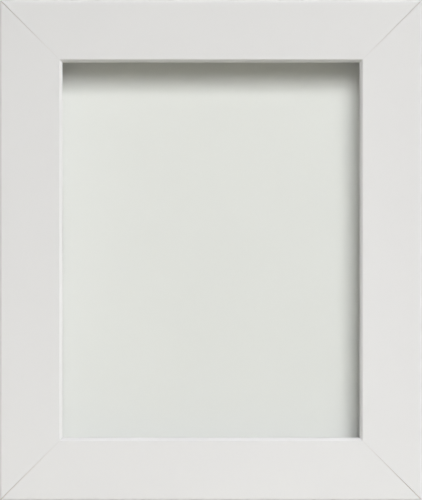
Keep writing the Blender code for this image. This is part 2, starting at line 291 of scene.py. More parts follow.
def add_plate(mesh: BMesh, loops: list[Outline], low: float, high: float) -> None:
    """Adds a flat plate in the XY plane.

    Args:
        mesh: The mesh that takes the plate.
        loops: The outline first, then any holes through it.
        low: The underside's height.
        high: The top's height.
    """
    levels = []
    for height in (low, high):
        rings = [add_ring(mesh, loop, height) for loop in loops]
        edges = [mesh.edges.new(pair) for ring in rings for pair in zip(ring, ring[1:] + ring[:1])]
        bmesh.ops.triangle_fill(mesh, edges=edges, use_beauty=True)
        levels.append(rings)
    for lower, upper in zip(*levels):
        add_band(mesh, lower, upper)


def add_turned(mesh: BMesh, profile: Outline, sides: int) -> None:
    """Adds a solid turned about Z.

    Args:
        mesh: The mesh that takes the solid.
        profile: Radius and height of each ring, from the axis back to the axis.
        sides: How many flats go round it.
    """
    rings = [add_ring(mesh, circle(AXIS, radius, sides), height) for radius, height in profile[1:-1]]
    for lower, upper in zip(rings, rings[1:]):
        add_band(mesh, lower, upper)
    for ring, (_, height) in ((rings[0], profile[0]), (rings[-1], profile[-1])):
        tip = mesh.verts.new((*AXIS, height))
        for corner, following in zip(ring, ring[1:] + ring[:1]):
            mesh.faces.new((corner, following, tip))


def finish_mesh(mesh: BMesh, name: str) -> Mesh:
    """Turns a bmesh into mesh data whose faces point out.

    Args:
        mesh: The bmesh, which is used up.
        name: The name of the mesh data.

    Returns:
        The mesh data, shaded smooth up to its sharp edges.
    """
    bmesh.ops.recalc_face_normals(mesh, faces=mesh.faces[:])
    data = bpy.data.meshes.new(name)
    mesh.to_mesh(data)
    mesh.free()
    soften(data)
    return data


def soften(data: Mesh) -> None:
    """Shades a mesh smooth, apart from its sharp edges."""
    data.shade_smooth()
    data.set_sharp_from_angle(angle=SHARP_ANGLE)


def add_object(name: str, data: bpy.types.ID) -> bpy.types.Object:
    """Puts mesh, curve, lamp or camera data in the scene.

    Args:
        name: The object's name.
        data: What it holds.

    Returns:
        The object, at the origin.
    """
    item = bpy.data.objects.new(name, data)
    bpy.context.scene.collection.objects.link(item)
    return item


def baked(item: bpy.types.Object, name: str) -> Mesh:
    """Turns an object with its modifiers into plain mesh data, and removes the object.

    Args:
        item: The object, which is used up.
        name: The name of the new mesh data.

    Returns:
        The mesh as the modifiers leave it.
    """
    evaluated = item.evaluated_get(bpy.context.evaluated_depsgraph_get())
    data = bpy.data.meshes.new_from_object(evaluated)
    data.name = name
    bpy.data.objects.remove(item, do_unlink=True)
    return data


def combined(first: Mesh, second: Mesh, joining: Joining, name: str) -> Mesh:
    """Cuts one mesh from another, or fuses them.

    Args:
        first: The mesh that is kept.
        second: The mesh that cuts it or is fused to it.
        joining: Which of the two is done.
        name: The name of the result.

    Returns:
        The combined mesh.
    """
    target = add_object(name + "_base", first)
    helper = add_object(name + "_helper", second)
    modifier = target.modifiers.new(joining.name.lower(), "BOOLEAN")
    modifier.operation = joining.value
    modifier.solver = "EXACT"
    modifier.object = helper
    data = baked(target, name)
    bpy.data.objects.remove(helper, do_unlink=True)
    return data


def evened(data: Mesh, name: str) -> Mesh:
    """Lets the larger faces of a mesh set its normals, so that flat faces look flat.

    Args:
        data: The mesh, which is used up.
        name: The name of the result.

    Returns:
        The mesh with its own normals.
    """
    item = add_object(name + "_plain", data)
    modifier = item.modifiers.new("even", "WEIGHTED_NORMAL")
    modifier.keep_sharp = True
    return baked(item, name)


def eased(data: Mesh, width: float, segments: int, name: str) -> Mesh:
    """Rounds the sharp edges of a mesh.

    Args:
        data: The mesh, which is used up.
        width: How wide each rounding is.
        segments: How many steps go round it.
        name: The name of the result.

    Returns:
        The rounded mesh.
    """
    item = add_object(name + "_sharp", data)
    modifier = item.modifiers.new("ease", "BEVEL")
    modifier.width = width
    modifier.segments = segments
    modifier.limit_method = "ANGLE"
    modifier.angle_limit = SHARP_ANGLE
    modifier.use_clamp_overlap = True
    return baked(item, name)


def fill_in(tree: Tree, socket: Socket, value: object) -> None:
    """Links an input to its source, or sets its content.

    Args:
        tree: The tree that holds the input.
        socket: The input.
        value: The source socket or the content. A colour is given as red, green and blue.
    """
    if isinstance(value, bpy.types.NodeSocket):
        tree.links.new(value, socket)
    elif socket.type == "RGBA":
        socket.default_value = (*value, 1.0)
    else:
        socket.default_value = value


def add_node(tree: Tree, kind: str, **values: object) -> Node:
    """Adds a node to a tree and fills it in.

    Args:
        tree: The shader or geometry tree.
        kind: The node's type.
        values: For each setting or input, by name or by place such as "in0", its value or source socket.

    Returns:
        The new node.
    """
    node = tree.nodes.new(kind)
    settings = [label for label in values if label in node.bl_rna.properties]
    for label in settings:
        setattr(node, label, values.pop(label))
    for label, value in values.items():
        place = int(label[2:]) if label[2:].isdigit() else label.replace("_", " ")
        fill_in(tree, node.inputs[place], value)
    return node


def maths(tree: Tree, operation: str, *values: Value) -> Socket:
    """Works out one number from others."""
    inputs = {f"in{place}": value for place, value in enumerate(values)}
    return add_node(tree, "ShaderNodeMath", operation=operation, **inputs).outputs[0]


def ranged(
    tree: Tree, value: Socket, start: Value, end: Value, low: float = 0.0, high: float = 1.0
) -> Socket:
    """Makes a number that goes from low to high while another goes from start to end."""
    ends = {"in1": start, "in2": end, "in3": low, "in4": high}
    return add_node(tree, "ShaderNodeMapRange", Value=value, **ends).outputs[0]


def noise(tree: Tree, vector: Socket, scale: Value, detail: float, bend: float = 0.0) -> Socket:
    """Adds a cloudy pattern of numbers from 0 to 1."""
    values = {"Vector": vector, "Scale": scale, "Detail": detail, "Distortion": bend}
    return add_node(tree, "ShaderNodeTexNoise", **values).outputs["Fac"]


def stretched(tree: Tree, vector: Socket, scales: Spot) -> Socket:
    """Scales the vector of a pattern by its own factor in each direction."""
    return add_node(tree, "ShaderNodeVectorMath", operation="MULTIPLY", in0=vector, in1=scales).outputs[0]


def mixed_value(tree: Tree, share: Value, first: Value, second: Value) -> Socket:
    """Mixes two numbers."""
    return add_node(tree, "ShaderNodeMix", in0=share, in2=first, in3=second).outputs[0]


def mixed_colour(tree: Tree, share: Value, first: Tone, second: Tone) -> Socket:
    """Mixes two colours."""
    return add_node(tree, "ShaderNodeMix", data_type="RGBA", in0=share, in6=first, in7=second).outputs[2]


def mixed_shader(tree: Tree, share: Value, first: Socket, second: Socket) -> Socket:
    """Mixes two shaders."""
    return add_node(tree, "ShaderNodeMixShader", in0=share, in1=first, in2=second).outputs[0]


class NodeGroup:
    """A node group under construction, with named sockets."""

    def __init__(self, kind: TreeKind, name: str, inputs: dict[str, str], outputs: dict[str, str]) -> None:
        """Makes the group and its sockets.

        Args:
            kind: What the group works on.
            name: The group's name.
            inputs: The type of each input, by name.
            outputs: The type of each output, by name.
        """
        self.tree = bpy.data.node_groups.new(name, kind.value)
        self.identifiers = {}
        face = self.tree.interface
        for label, content in inputs.items():
            socket = face.new_socket(label, in_out="INPUT", socket_type="NodeSocket" + content)
            self.identifiers[label] = socket.identifier
        for label, content in outputs.items():
            face.new_socket(label, in_out="OUTPUT", socket_type="NodeSocket" + content)
        self.source = self.tree.nodes.new("NodeGroupInput").outputs
        self.result = self.tree.nodes.new("NodeGroupOutput").inputs

    def add(self, kind: str, **values: object) -> Node:
        """Adds a node, filled in as add_node does."""
        return add_node(self.tree, kind, **values)

    def close(self, **results: Socket) -> Tree:
        """Feeds the group's outputs.

        Args:
            results: The source of each output, by name.

        Returns:
            The finished tree.
        """
        for label, socket in results.items():
            self.tree.links.new(socket, self.result[label])
        return self.tree


@dataclass
class Effects:
    """The shader groups that several finishes share, each built once.

    Attributes:
        broad_detail: The detail in the broad part of a ripple.
        fine_detail: The detail in its fine part.
        cloud_detail: The detail in a drift of tone.
        cloud_middle: The level at which a drift leaves the tone as it is.
        cloud_reach: How far the tone goes for each unit of drift.
        fleck_detail: The detail in the flecks.
        fleck_bend: How crooked the flecks are.
        fleck_full: The level at which a fleck is full.
        rub_stretch: How the rub marks are drawn out, as scales along X, Y and Z.
        rub_detail: The detail in the rub marks.
        rub_bend: How crooked they are.
        rub_range: The levels between which a mark grows from nothing to full.
        band_stretch: The scale of the wood's bands along and across the grain.
        band_detail: The detail in the bands.
        band_bend: How crooked they are.
        band_range: The levels between which a band turns from pale to dark.
        pore_stretch: The scale of the wood's pores along and across the grain.
        pore_detail: The detail in the pores.
        pore_range: The levels between which a pore grows from nothing to full.
        pore_share: How much the pores count in the wood's colour, beside the bands.
    """

    broad_detail: float = 1.0
    fine_detail: float = 2.0
    cloud_detail: float = 4.0
    cloud_middle: float = 0.5
    cloud_reach: float = 4.0
    fleck_detail: float = 3.0
    fleck_bend: float = 1.2
    fleck_full: float = 0.85
    rub_stretch: Spot = (0.12, 1.0, 1.0)
    rub_detail: float = 5.0
    rub_bend: float = 0.4
    rub_range: Point = (0.3, 0.7)
    band_stretch: Spot = (5.0, 150.0, 150.0)
    band_detail: float = 5.0
    band_bend: float = 0.8
    band_range: Point = (0.32, 0.68)
    pore_stretch: Spot = (90.0, 2600.0, 2600.0)
    pore_detail: float = 2.0
    pore_range: Point = (0.52, 0.75)
    pore_share: float = 0.35

    def __post_init__(self) -> None:
        """Builds every group."""
        self.ripple = self.build_ripple()
        self.drift = self.build_drift()
        self.flecks = self.build_flecks()
        self.rubbing = self.build_rubbing()
        self.wood = self.build_wood()

    def build_ripple(self) -> Tree:
        """Builds the height of a surface with a broad and a fine unevenness.

        Returns:
            The finished group.
        """
        inputs = {"Vector": "Vector", "Broad": "Float", "Fine": "Float", "Fine Share": "Float"}
        group = NodeGroup(TreeKind.SHADER, "surface_ripple", inputs, {"Height": "Float"})
        given, tree = group.source, group.tree
        broad = noise(tree, given["Vector"], given["Broad"], self.broad_detail)
        fine = noise(tree, given["Vector"], given["Fine"], self.fine_detail)
        return group.close(Height=mixed_value(tree, given["Fine Share"], broad, fine))

    def build_drift(self) -> Tree:
        """Builds a colour that grows a little lighter and darker over the surface.

        Returns:
            The finished group.
        """
        inputs = {"Vector": "Vector", "Colour": "Color", "Scale": "Float", "Drift": "Float"}
        group = NodeGroup(TreeKind.SHADER, "tone_drift", inputs, {"Colour": "Color"})
        given, tree = group.source, group.tree
        cloud = noise(tree, given["Vector"], given["Scale"], self.cloud_detail)
        centred = maths(tree, "SUBTRACT", cloud, self.cloud_middle)
        swing = maths(tree, "MULTIPLY", centred, given["Drift"])
        level = maths(tree, "MULTIPLY_ADD", swing, self.cloud_reach, 1.0)
        toned = group.add("ShaderNodeVectorMath", operation="SCALE", in0=given["Colour"], Scale=level)
        return group.close(Colour=toned.outputs[0])

    def build_flecks(self) -> Tree:
        """Builds a mask of scattered fibres or specks.

        Returns:
            The finished group.
        """
        inputs = {"Vector": "Vector", "Scale": "Float", "Coverage": "Float"}
        group = NodeGroup(TreeKind.SHADER, "scattered_flecks", inputs, {"Mask": "Float"})
        given, tree = group.source, group.tree
        specks = noise(tree, given["Vector"], given["Scale"], self.fleck_detail, self.fleck_bend)
        start = maths(tree, "SUBTRACT", 1.0, given["Coverage"])
        return group.close(Mask=ranged(tree, specks, start, self.fleck_full))

    def build_rubbing(self) -> Tree:
        """Builds a mask of fine rub marks that run one way over plated metal.

        Returns:
            The finished group.
        """
        inputs = {"Vector": "Vector", "Scale": "Float"}
        group = NodeGroup(TreeKind.SHADER, "rub_marks", inputs, {"Mask": "Float"})
        given, tree = group.source, group.tree
        drawn = stretched(tree, given["Vector"], self.rub_stretch)
        marks = noise(tree, drawn, given["Scale"], self.rub_detail, self.rub_bend)
        return group.close(Mask=ranged(tree, marks, *self.rub_range))

    def build_wood(self) -> Tree:
        """Builds long grain with pores, along the first direction of its vector.

        Returns:
            The finished group.
        """
        inputs = {"Vector": "Vector", "Pale": "Color", "Dark": "Color"}
        group = NodeGroup(TreeKind.SHADER, "long_grain", inputs, {"Colour": "Color", "Height": "Float"})
        given, tree = group.source, group.tree
        banded = stretched(tree, given["Vector"], self.band_stretch)
        bands = ranged(tree, noise(tree, banded, 1.0, self.band_detail, self.band_bend), *self.band_range)
        needled = stretched(tree, given["Vector"], self.pore_stretch)
        pores = ranged(tree, noise(tree, needled, 1.0, self.pore_detail), *self.pore_range)
        share = mixed_value(tree, self.pore_share, bands, pores)
        tone = mixed_colour(tree, share, given["Pale"], given["Dark"])
        return group.close(Colour=tone, Height=maths(tree, "SUBTRACT", 1.0, pores))


class Surface:
    """A material under construction."""

    def __init__(self, name: str, colour: Colour, roughness: float) -> None:
        """Makes the material with a plain shader.

        Args:
            name: The material's name.
            colour: Its main colour.
            roughness: Its roughness.
        """
        self.material = bpy.data.materials.new(name)
        self.material.use_nodes = True
        self.material.diffuse_color = (*colour, 1.0)
        self.tree = self.material.node_tree
        self.shader = self.tree.nodes["Principled BSDF"]
        self.roughness = roughness
        self.feed("Base Color", colour)
        self.feed("Roughness", roughness)

    def add(self, kind: str, **values: object) -> Node:
        """Adds a node, filled in as add_node does."""
        return add_node(self.tree, kind, **values)

    def feed(self, label: str, value: Value | Tone) -> None:
        """Fills in one of the shader's inputs."""
        fill_in(self.tree, self.shader.inputs[label], value)

    def show(self, shader: Socket) -> None:
        """Makes another shader what the material shows."""
        fill_in(self.tree, self.tree.nodes["Material Output"].inputs["Surface"], shader)

    def pattern(self, grain: Grain) -> Socket:
        """The vector that a pattern reads, from the piece's own space or along the piece."""
        return self.add("ShaderNodeTexCoord").outputs[grain.value]

    def effect(self, group: Tree, **values: object) -> bpy.types.bpy_prop_collection:
        """Places a shared effect with its own values, and returns its outputs."""
        return self.add("ShaderNodeGroup", node_tree=group, **values).outputs

    def follow(self, height: Socket, relief: float, swing: float) -> None:
        """Lets the roughness and the normal follow a height.

        Args:
            height: The height, from 0 to 1.
            relief: How high 1 stands, in metres.
            swing: How far the roughness goes each way.
        """
        low, high = self.roughness - swing, self.roughness + swing
        self.feed("Roughness", ranged(self.tree, height, 0.0, 1.0, low, high))
        bump = self.add("ShaderNodeBump", Height=height, Distance=relief, Strength=1.0)
        self.feed("Normal", bump.outputs[0])


class Layer:
    """Something that changes a tone from place to place."""

    def over(self, tone: Tone, surface: Surface, effects: Effects, vector: Socket) -> Socket:
        """Lays it over a tone.

        Args:
            tone: The tone under it.
            surface: The material under construction.
            effects: The shared shader groups.
            vector: The vector that its pattern reads.

        Returns:
            The new tone.
        """
        raise NotImplementedError


@dataclass(frozen=True)
class Drift(Layer):
    """A slow drift to lighter and darker.

    Attributes:
        scale: The scale of its clouds.
        depth: How far the tone drifts.
    """

    scale: float
    depth: float

    def over(self, tone: Tone, surface: Surface, effects: Effects, vector: Socket) -> Socket:
        """Lays the drift over a tone, and returns the new tone."""
        values = {"Vector": vector, "Colour": tone, "Scale": self.scale, "Drift": self.depth}
        return surface.effect(effects.drift, **values)["Colour"]


@dataclass(frozen=True)
class Flecks(Layer):
    """Scattered fibres, specks or dust.

    Attributes:
        colour: Their colour.
        scale: The scale of their pattern.
        coverage: How much of the surface they take.
    """

    colour: Colour
    scale: float
    coverage: float

    def over(self, tone: Tone, surface: Surface, effects: Effects, vector: Socket) -> Socket:
        """Scatters the flecks over a tone.

        Args:
            tone: The tone under it.
            surface: The material under construction.
            effects: The shared shader groups.
            vector: The vector that its pattern reads.

        Returns:
            The new tone.
        """
        values = {"Vector": vector, "Scale": self.scale, "Coverage": self.coverage}
        mask = surface.effect(effects.flecks, **values)["Mask"]
        return mixed_colour(surface.tree, mask, tone, self.colour)


@dataclass(frozen=True)
class Tooth:
    """The fine unevenness of a surface.

    Attributes:
        broad: The scale of its broad part.
        fine: The scale of its fine part.
        fine_share: How much of it is fine.
        relief: How high it stands.
        swing: How far the roughness follows it each way.
    """

    broad: float
    fine: float
    fine_share: float
    relief: float
    swing: float

    def under(self, surface: Surface, effects: Effects, vector: Socket) -> None:
        """Gives a surface this unevenness.

        Args:
            surface: The material under construction.
            effects: The shared shader groups.
            vector: The vector that the pattern reads.
        """
        values = {"Broad": self.broad, "Fine": self.fine, "Fine_Share": self.fine_share}
        height = surface.effect(effects.ripple, Vector=vector, **values)["Height"]
        surface.follow(height, self.relief, self.swing)


@dataclass(frozen=True)
class Finish:
    """What every finish has.

    Attributes:
        name: The material's name.
        slot: The record's material slot; not used here.
        colour: The main colour, as linear red, green and blue.
        roughness: The middle of the surface's roughness.
    """

    name: str
    slot: str
    colour: Colour
    roughness: float

    def material(self, effects: Effects) -> Material:
        """Makes the material.

        Args:
            effects: The shared shader groups.

        Returns:
            The new material.
        """
        surface = Surface(self.name, self.colour, self.roughness)
        self.dress(surface, effects)
        return surface.material

    def dress(self, surface: Surface, effects: Effects) -> None:
        """Adds the finish's own nodes."""
        raise NotImplementedError


@dataclass(frozen=True)
class Coating(Finish):
    """A finish with layers of tone over a fine unevenness.

    Attributes:
        layers: What changes the main colour, in order.
        tooth: The unevenness.
    """

    layers: tuple[Layer, ...]
    tooth: Tooth

    def dress(self, surface: Surface, effects: Effects) -> None:
        """Adds the layers and the unevenness.

        Args:
            surface: The material under construction.
            effects: The shared shader groups.
        """
        vector = surface.pattern(Grain.SOLID)
        tone = self.colour
        for layer in self.layers:
            tone = layer.over(tone, surface, effects, vector)
        surface.feed("Base Color", tone)
        self.tooth.under(surface, effects, vector)


@dataclass(frozen=True)
class Lacquer(Coating):
    """Sprayed satin lacquer: even, with a faint orange peel."""

    layers: tuple[Layer, ...] = (Drift(scale=24.0, depth=0.006),)
    tooth: Tooth = Tooth(broad=650.0, fine=2600.0, fine_share=0.3, relief=0.000012, swing=0.05)


@dataclass(frozen=True)
class CardPaper(Coating):
    """White card: matt, with a fine tooth and a few pale fibres."""

    layers: tuple[Layer, ...] = (
        Drift(scale=16.0, depth=0.005),
        Flecks(colour=(0.91, 0.91, 0.89), scale=1400.0, coverage=0.42),
    )
    tooth: Tooth = Tooth(broad=1500.0, fine=5200.0, fine_share=0.5, relief=0.000014, swing=0.04)


@dataclass(frozen=True)
class SpacerPaper(CardPaper):
    """Grey paper on the spacers, made like the card."""

    layers: tuple[Layer, ...] = (
        Drift(scale=16.0, depth=0.005),
        Flecks(colour=(0.34, 0.34, 0.33), scale=1400.0, coverage=0.42),
    )


@dataclass(frozen=True)
class Fibreboard(Coating):
    """Brown hardboard: a mottled, hot-pressed skin full of pale fibres and dark specks."""

    layers: tuple[Layer, ...] = (
        Drift(scale=60.0, depth=0.12),
        Flecks(colour=(0.50, 0.35, 0.21), scale=1100.0, coverage=0.50),
        Flecks(colour=(0.15, 0.085, 0.045), scale=480.0, coverage=0.34),
    )
    tooth: Tooth = Tooth(broad=900.0, fine=3600.0, fine_share=0.6, relief=0.000018, swing=0.10)


@dataclass(frozen=True)
class Rubber(Coating):
    """Moulded rubber with a dusty, finely pitted skin."""

    layers: tuple[Layer, ...] = (Flecks(colour=(0.20, 0.195, 0.185), scale=700.0, coverage=0.48),)
    tooth: Tooth = Tooth(broad=1200.0, fine=4200.0, fine_share=0.5, relief=0.00002, swing=0.08)


@dataclass(frozen=True)
class BareWood(Finish):
    """Planed wood with its grain along the piece.

    Attributes:
        dark: The colour of the dark bands and the pores.
        drift: The slow drift of its tone.
        relief: The depth of the pores.
        swing: How far the roughness follows the pores each way.
    """

    dark: Colour = (0.44, 0.29, 0.17)
    drift: Drift = Drift(scale=14.0, depth=0.06)
    relief: float = 0.00003
    swing: float = 0.08

    def dress(self, surface: Surface, effects: Effects) -> None:
        """Adds grain, pores and the drift of tone.

        Args:
            surface: The material under construction.
            effects: The shared shader groups.
        """
        vector = surface.pattern(Grain.ALONG_PIECE)
        grain = surface.effect(effects.wood, Vector=vector, Pale=self.colour, Dark=self.dark)
        surface.feed("Base Color", self.drift.over(grain["Colour"], surface, effects, vector))
        surface.follow(grain["Height"], self.relief, self.swing)


@dataclass(frozen=True)
class Plating(Finish):
    """Plated steel with rub marks and a mottled tone.

    Attributes:
        mottle: The drift of its tone.
        swing: How far the roughness follows the marks each way.
        marks: The scale of the rub marks.
        relief: The depth of the rub marks.
    """

    mottle: Drift = Drift(scale=420.0, depth=0.08)
    swing: float = 0.10
    marks: float = 2400.0
    relief: float = 0.000004

    def dress(self, surface: Surface, effects: Effects) -> None:
        """Makes it metal, and adds the marks and the mottle.

        Args:
            surface: The material under construction.
            effects: The shared shader groups.
        """
        surface.feed("Metallic", 1.0)
        vector = surface.pattern(Grain.SOLID)
        surface.feed("Base Color", self.mottle.over(self.colour, surface, effects, vector))
        marks = surface.effect(effects.rubbing, Vector=vector, Scale=self.marks)
        surface.follow(marks["Mask"], self.relief, self.swing)


@dataclass(frozen=True)
class Glazing(Finish):
    """Clear float glass with a faint green cast, which lets the lamps through.

    Attributes:
        cast: The colour of the light that it lets through.
        refraction: Its index of refraction.
    """

    cast: Colour = (0.972, 0.976, 0.972)
    refraction: float = 1.5

    def dress(self, surface: Surface, effects: Effects) -> None:
        """Makes it glass, and see-through for the light of the lamps.

        Args:
            surface: The material under construction.
            effects: The shared shader groups; not used here.
        """
        surface.feed("Transmission Weight", 1.0)
        surface.feed("IOR", self.refraction)
        rays = surface.add("ShaderNodeLightPath").outputs
        passing = maths(surface.tree, "MAXIMUM", rays[Ray.SHADOW.value], rays[Ray.DIFFUSE.value])
        clear = surface.add("ShaderNodeBsdfTransparent", Color=self.cast)
        surface.show(mixed_shader(surface.tree, passing, surface.shader.outputs[0], clear.outputs[0]))


@dataclass(frozen=True)
class Palette:
    """Every finish on the box.

    Attributes:
        lacquer: The moulding where it shows.
        wood: The moulding's rebate and back.
        glass: The pane.
        spacer: The spacers between the pane and the card.
        card: The display card.
        board: The back board.
        zinc: The wedges, the screws and the turn buttons.
        nickel: The strap hangers and their rings.
        rubber: The bumpers.
    """

    lacquer: Finish = Lacquer("satin_lacquer", "white_lacquer", (0.772, 0.770, 0.784), 0.42)
    wood: Finish = BareWood("bare_wood", "white_lacquer", (0.66, 0.50, 0.34), 0.62)
    glass: Finish = Glazing("float_glass", "clear_glass", (0.985, 0.991, 0.986), 0.0)
    spacer: Finish = SpacerPaper("spacer_paper", "grey_spacer", (0.26, 0.26, 0.25), 0.80)
    card: Finish = CardPaper("card_paper", "white_card", (0.878, 0.888, 0.880), 0.86)
    board: Finish = Fibreboard("hardboard", "fibreboard", (0.33, 0.205, 0.115), 0.58)
    zinc: Finish = Plating("bright_zinc", "zinc_plate", (0.66, 0.67, 0.68), 0.34)
    nickel: Finish = Plating(
        "bright_nickel", "nickel_plate", (0.72, 0.69, 0.63), 0.24, mottle=Drift(420.0, 0.05), swing=0.07
    )
    rubber: Finish = Rubber("moulded_rubber", "grey_rubber", (0.055, 0.055, 0.057), 0.68)


class GeometryTree(NodeGroup):
    """A Geometry Nodes tree whose result is turned into a plain mesh."""

    def __init__(self, name: str, sizes: dict[str, str]) -> None:
        """Makes the tree, which takes a shape, some sizes and a material and puts out a shape.

        Args:
            name: The tree's name.
            sizes: The type of each size, by name.
        """
        inputs = {"Geometry": "Geometry", **sizes, "Material": "Material"}
        super().__init__(TreeKind.GEOMETRY, name, inputs, {"Geometry": "Geometry"})

    def end(self, geometry: Socket) -> None:
        """Ends the tree: makes its copies real and gives them their material.

        Args:
            geometry: What the tree has made so far.
        """
        real = self.add("GeometryNodeRealizeInstances", Geometry=geometry).outputs[0]
        dressed = self.add("GeometryNodeSetMaterial", Geometry=real, Material=self.source["Material"])
        self.close(Geometry=dressed.outputs[0])

    def bake(self, data: bpy.types.ID, values: dict[str, object], name: str) -> Mesh:
        """Runs the tree on some data.

        Args:
            data: The mesh or curve that goes in.
            values: The value of each further input, by name.
            name: The name of the result.

        Returns:
            The result as a plain mesh.
        """
        item = add_object(name + "_source", data)
        modifier = item.modifiers.new("build", "NODES")
        modifier.node_group = self.tree
        for label, value in values.items():
            modifier[self.identifiers[label]] = value
        return baked(item, name)


class CopyTree(GeometryTree):
    """Stands copies of one shape on a set of places."""

    TURN = "turn"

    def __init__(self) -> None:
        """Builds the tree."""
        super().__init__("copies_on_places", {"Places": "Object", "Tilt": "Float"})
        holder = self.source["Places"]
        places = self.add("GeometryNodeObjectInfo", transform_space="ORIGINAL", Object=holder)
        turn = self.add("GeometryNodeInputNamedAttribute", data_type="FLOAT", Name=self.TURN)
        angles = self.add("ShaderNodeCombineXYZ", X=self.source["Tilt"], Y=turn.outputs["Attribute"])
        copies = self.add(
            "GeometryNodeInstanceOnPoints",
            Points=places.outputs["Geometry"],
            Instance=self.source["Geometry"],
            Rotation=angles.outputs[0],
        )
        self.end(copies.outputs[0])

    def spread(self, shape: Mesh, places: list[Place], material: Material, name: str) -> Mesh:
        """Puts a copy of a shape on each place.

        Args:
            shape: The shape, drawn in the XY plane with +Z outwards.
            places: Where the copies go.
            material: Their material.
            name: The name of the result.

        Returns:
            One mesh of all the copies.
        """
        spots = bpy.data.meshes.new(name + "_spots")
        spots.from_pydata([place.at for place in places], [], [])
        turns = spots.attributes.new(self.TURN, "FLOAT", "POINT")
        turns.data.foreach_set("value", [place.turn for place in places])
        holder = add_object(name + "_places", spots)
        data = self.bake(shape, {"Places": holder, "Tilt": FACING_BACK, "Material": material}, name)
        bpy.data.objects.remove(holder, do_unlink=True)
        return data


class WireTree(GeometryTree):
    """Draws round wire along a closed curve."""

    def __init__(self) -> None:
        """Builds the tree."""
        super().__init__("round_wire", {"Wire Radius": "Float", "Sides": "Int"})
        size = {"Resolution": self.source["Sides"], "Radius": self.source["Wire Radius"]}
        section = self.add("GeometryNodeCurvePrimitiveCircle", **size).outputs["Curve"]
        wire = self.add("GeometryNodeCurveToMesh", Curve=self.source["Geometry"], Profile_Curve=section)
        self.end(wire.outputs[0])

    def draw(self, path: list[Vector], radius: float, sides: int, material: Material, name: str) -> Mesh:
        """Draws wire along a closed path.

        Args:
            path: The points of the wire's centre line.
            radius: The wire's radius.
            sides: How many flats go round it.
            material: Its material.
            name: The name of the result.

        Returns:
            The wire's mesh.
        """
        curve = bpy.data.curves.new(name + "_path", "CURVE")
        curve.dimensions = "3D"
        spline = curve.splines.new("POLY")
        spline.points.add(len(path) - 1)
        for point, spot in zip(spline.points, path):
            point.co = (*spot, 1.0)
        spline.use_cyclic_u = True
        return self.bake(curve, {"Wire Radius": radius, "Sides": sides, "Material": material}, name)


class Workshop:
    """Hands finished pieces to the frame, and keeps what all the sub-assemblies share."""

    def __init__(self) -> None:
        """Builds the shared effects, the palette and the node trees."""
        self.effects = Effects()
        self.palette = Palette()
        self.copies = CopyTree()
        self.wire = WireTree()
        self.materials: dict[str, Material] = {}
        self.pieces: list[tuple[bpy.types.Object, str]] = []

    def material(self, finish: Finish) -> Material:
        """Gets the material of a finish, and makes it when it is first asked for.

        Args:
            finish: The finish.

        Returns:
            Its material.
        """
        if finish.name not in self.materials:
            self.materials[finish.name] = finish.material(self.effects)
        return self.materials[finish.name]

    def hand_over(self, name: str, data: Mesh, finish: Finish, body: str, nodes: list[str]) -> None:
        """Puts a finished piece on its body in place of its CAD nodes.

        Args:
            name: The piece's name.
            data: Its mesh, in the frame of the box.
            finish: The finish that it takes, unless the mesh has materials already.
            body: The body that it moves with.
            nodes: The CAD nodes that it stands for.
        """
        if not any(data.materials):
            data.materials.clear()
            data.materials.append(self.material(finish))
        soften(data)
        piece = add_object(name, evened(data, name))
        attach(piece, body)
        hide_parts(*nodes)
        self.pieces.append((piece, body))

    def hand_over_copies(self, name: str, shape: Mesh, finish: Finish, places: dict[str, Place]) -> None:
        """Puts copies of a shape on the frame body as one piece.

        Args:
            name: The piece's name.
            shape: The shape, drawn in the XY plane with +Z outwards.
            finish: The finish that it takes.
            places: Where each copy goes, by the CAD node that it stands for.
        """
        data = self.copies.spread(shape, list(places.values()), self.material(finish), name)
        self.hand_over(name, data, finish, BOX_BODY, list(places))


@dataclass
class Wedges:
    """The steel wedges driven into the back of the mitres.

    Attributes:
        thickness: The steel's thickness.
        margin: The bruised gap round each wedge.
        sunk: How far it is driven under the surface.
        ease: The rounding of its edges.
        ease_segments: How finely they are rounded.
        per_corner: How many hold each mitre.
    """

    thickness: float = 0.0006
    margin: float = 0.00012
    sunk: float = 0.00015
    ease: float = 0.00008
    ease_segments: int = 2
    per_corner: int = 2

    def places(self) -> dict[str, Place]:
        """Finds the wedges.

        Returns:
            Where the corner of each wedge lies on the back of the box, by node.
        """
        found = {}
        for corner in Corner:
            across, up, _ = corner.value
            for number in range(1, self.per_corner + 1):
                node = f"corner_wedge_{corner.name.lower()}_{number}"
                low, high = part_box(node)
                x = high.x if across > 0 else low.x
                z = high.z if up > 0 else low.z
                found[node] = Place(Vector((x, high.y, z)), corner.turn)
        return found

    def size(self) -> Vector:
        """The size of a wedge."""
        return size_of(next(iter(self.places())))

    def shape(self, margin: float, low: float, high: float) -> Mesh:
        """Makes one wedge, drawn with its arms along +X and -Y.

        Args:
            margin: How much larger it is all round.
            low: The height of its buried end.
            high: The height of its outer end.

        Returns:
            The wedge's mesh.
        """
        arm = self.size().x + margin
        inner = self.thickness + margin
        outline = [(-margin, margin), (-margin, -arm), (inner, -arm)]
        outline += [(inner, -inner), (arm, -inner), (arm, margin)]
        mesh = bmesh.new()
        add_plate(mesh, [outline], low, high)
        return finish_mesh(mesh, "wedge")

    def slots(self) -> Mesh:
        """Makes what is cut from the rails for the wedges.

        Returns:
            One mesh of every slot, which stands out of the back so that it cuts cleanly.
        """
        depth = self.size().y
        mesh = bmesh.new()
        for place in self.places().values():
            single = self.shape(self.margin, -depth - self.margin, depth)
            single.transform(place.matrix())
            mesh.from_mesh(single)
        return finish_mesh(mesh, "wedge_slots")

    def build(self, shop: Workshop) -> None:
        """Makes the wedges and hands them over as one piece.

        Args:
            shop: The workshop, which takes the pieces.
        """
        sharp = self.shape(0.0, -self.size().y, -self.sunk)
        single = eased(sharp, self.ease, self.ease_segments, "wedge_eased")
        shop.hand_over_copies("corner_wedges", single, shop.palette.zinc, self.places())


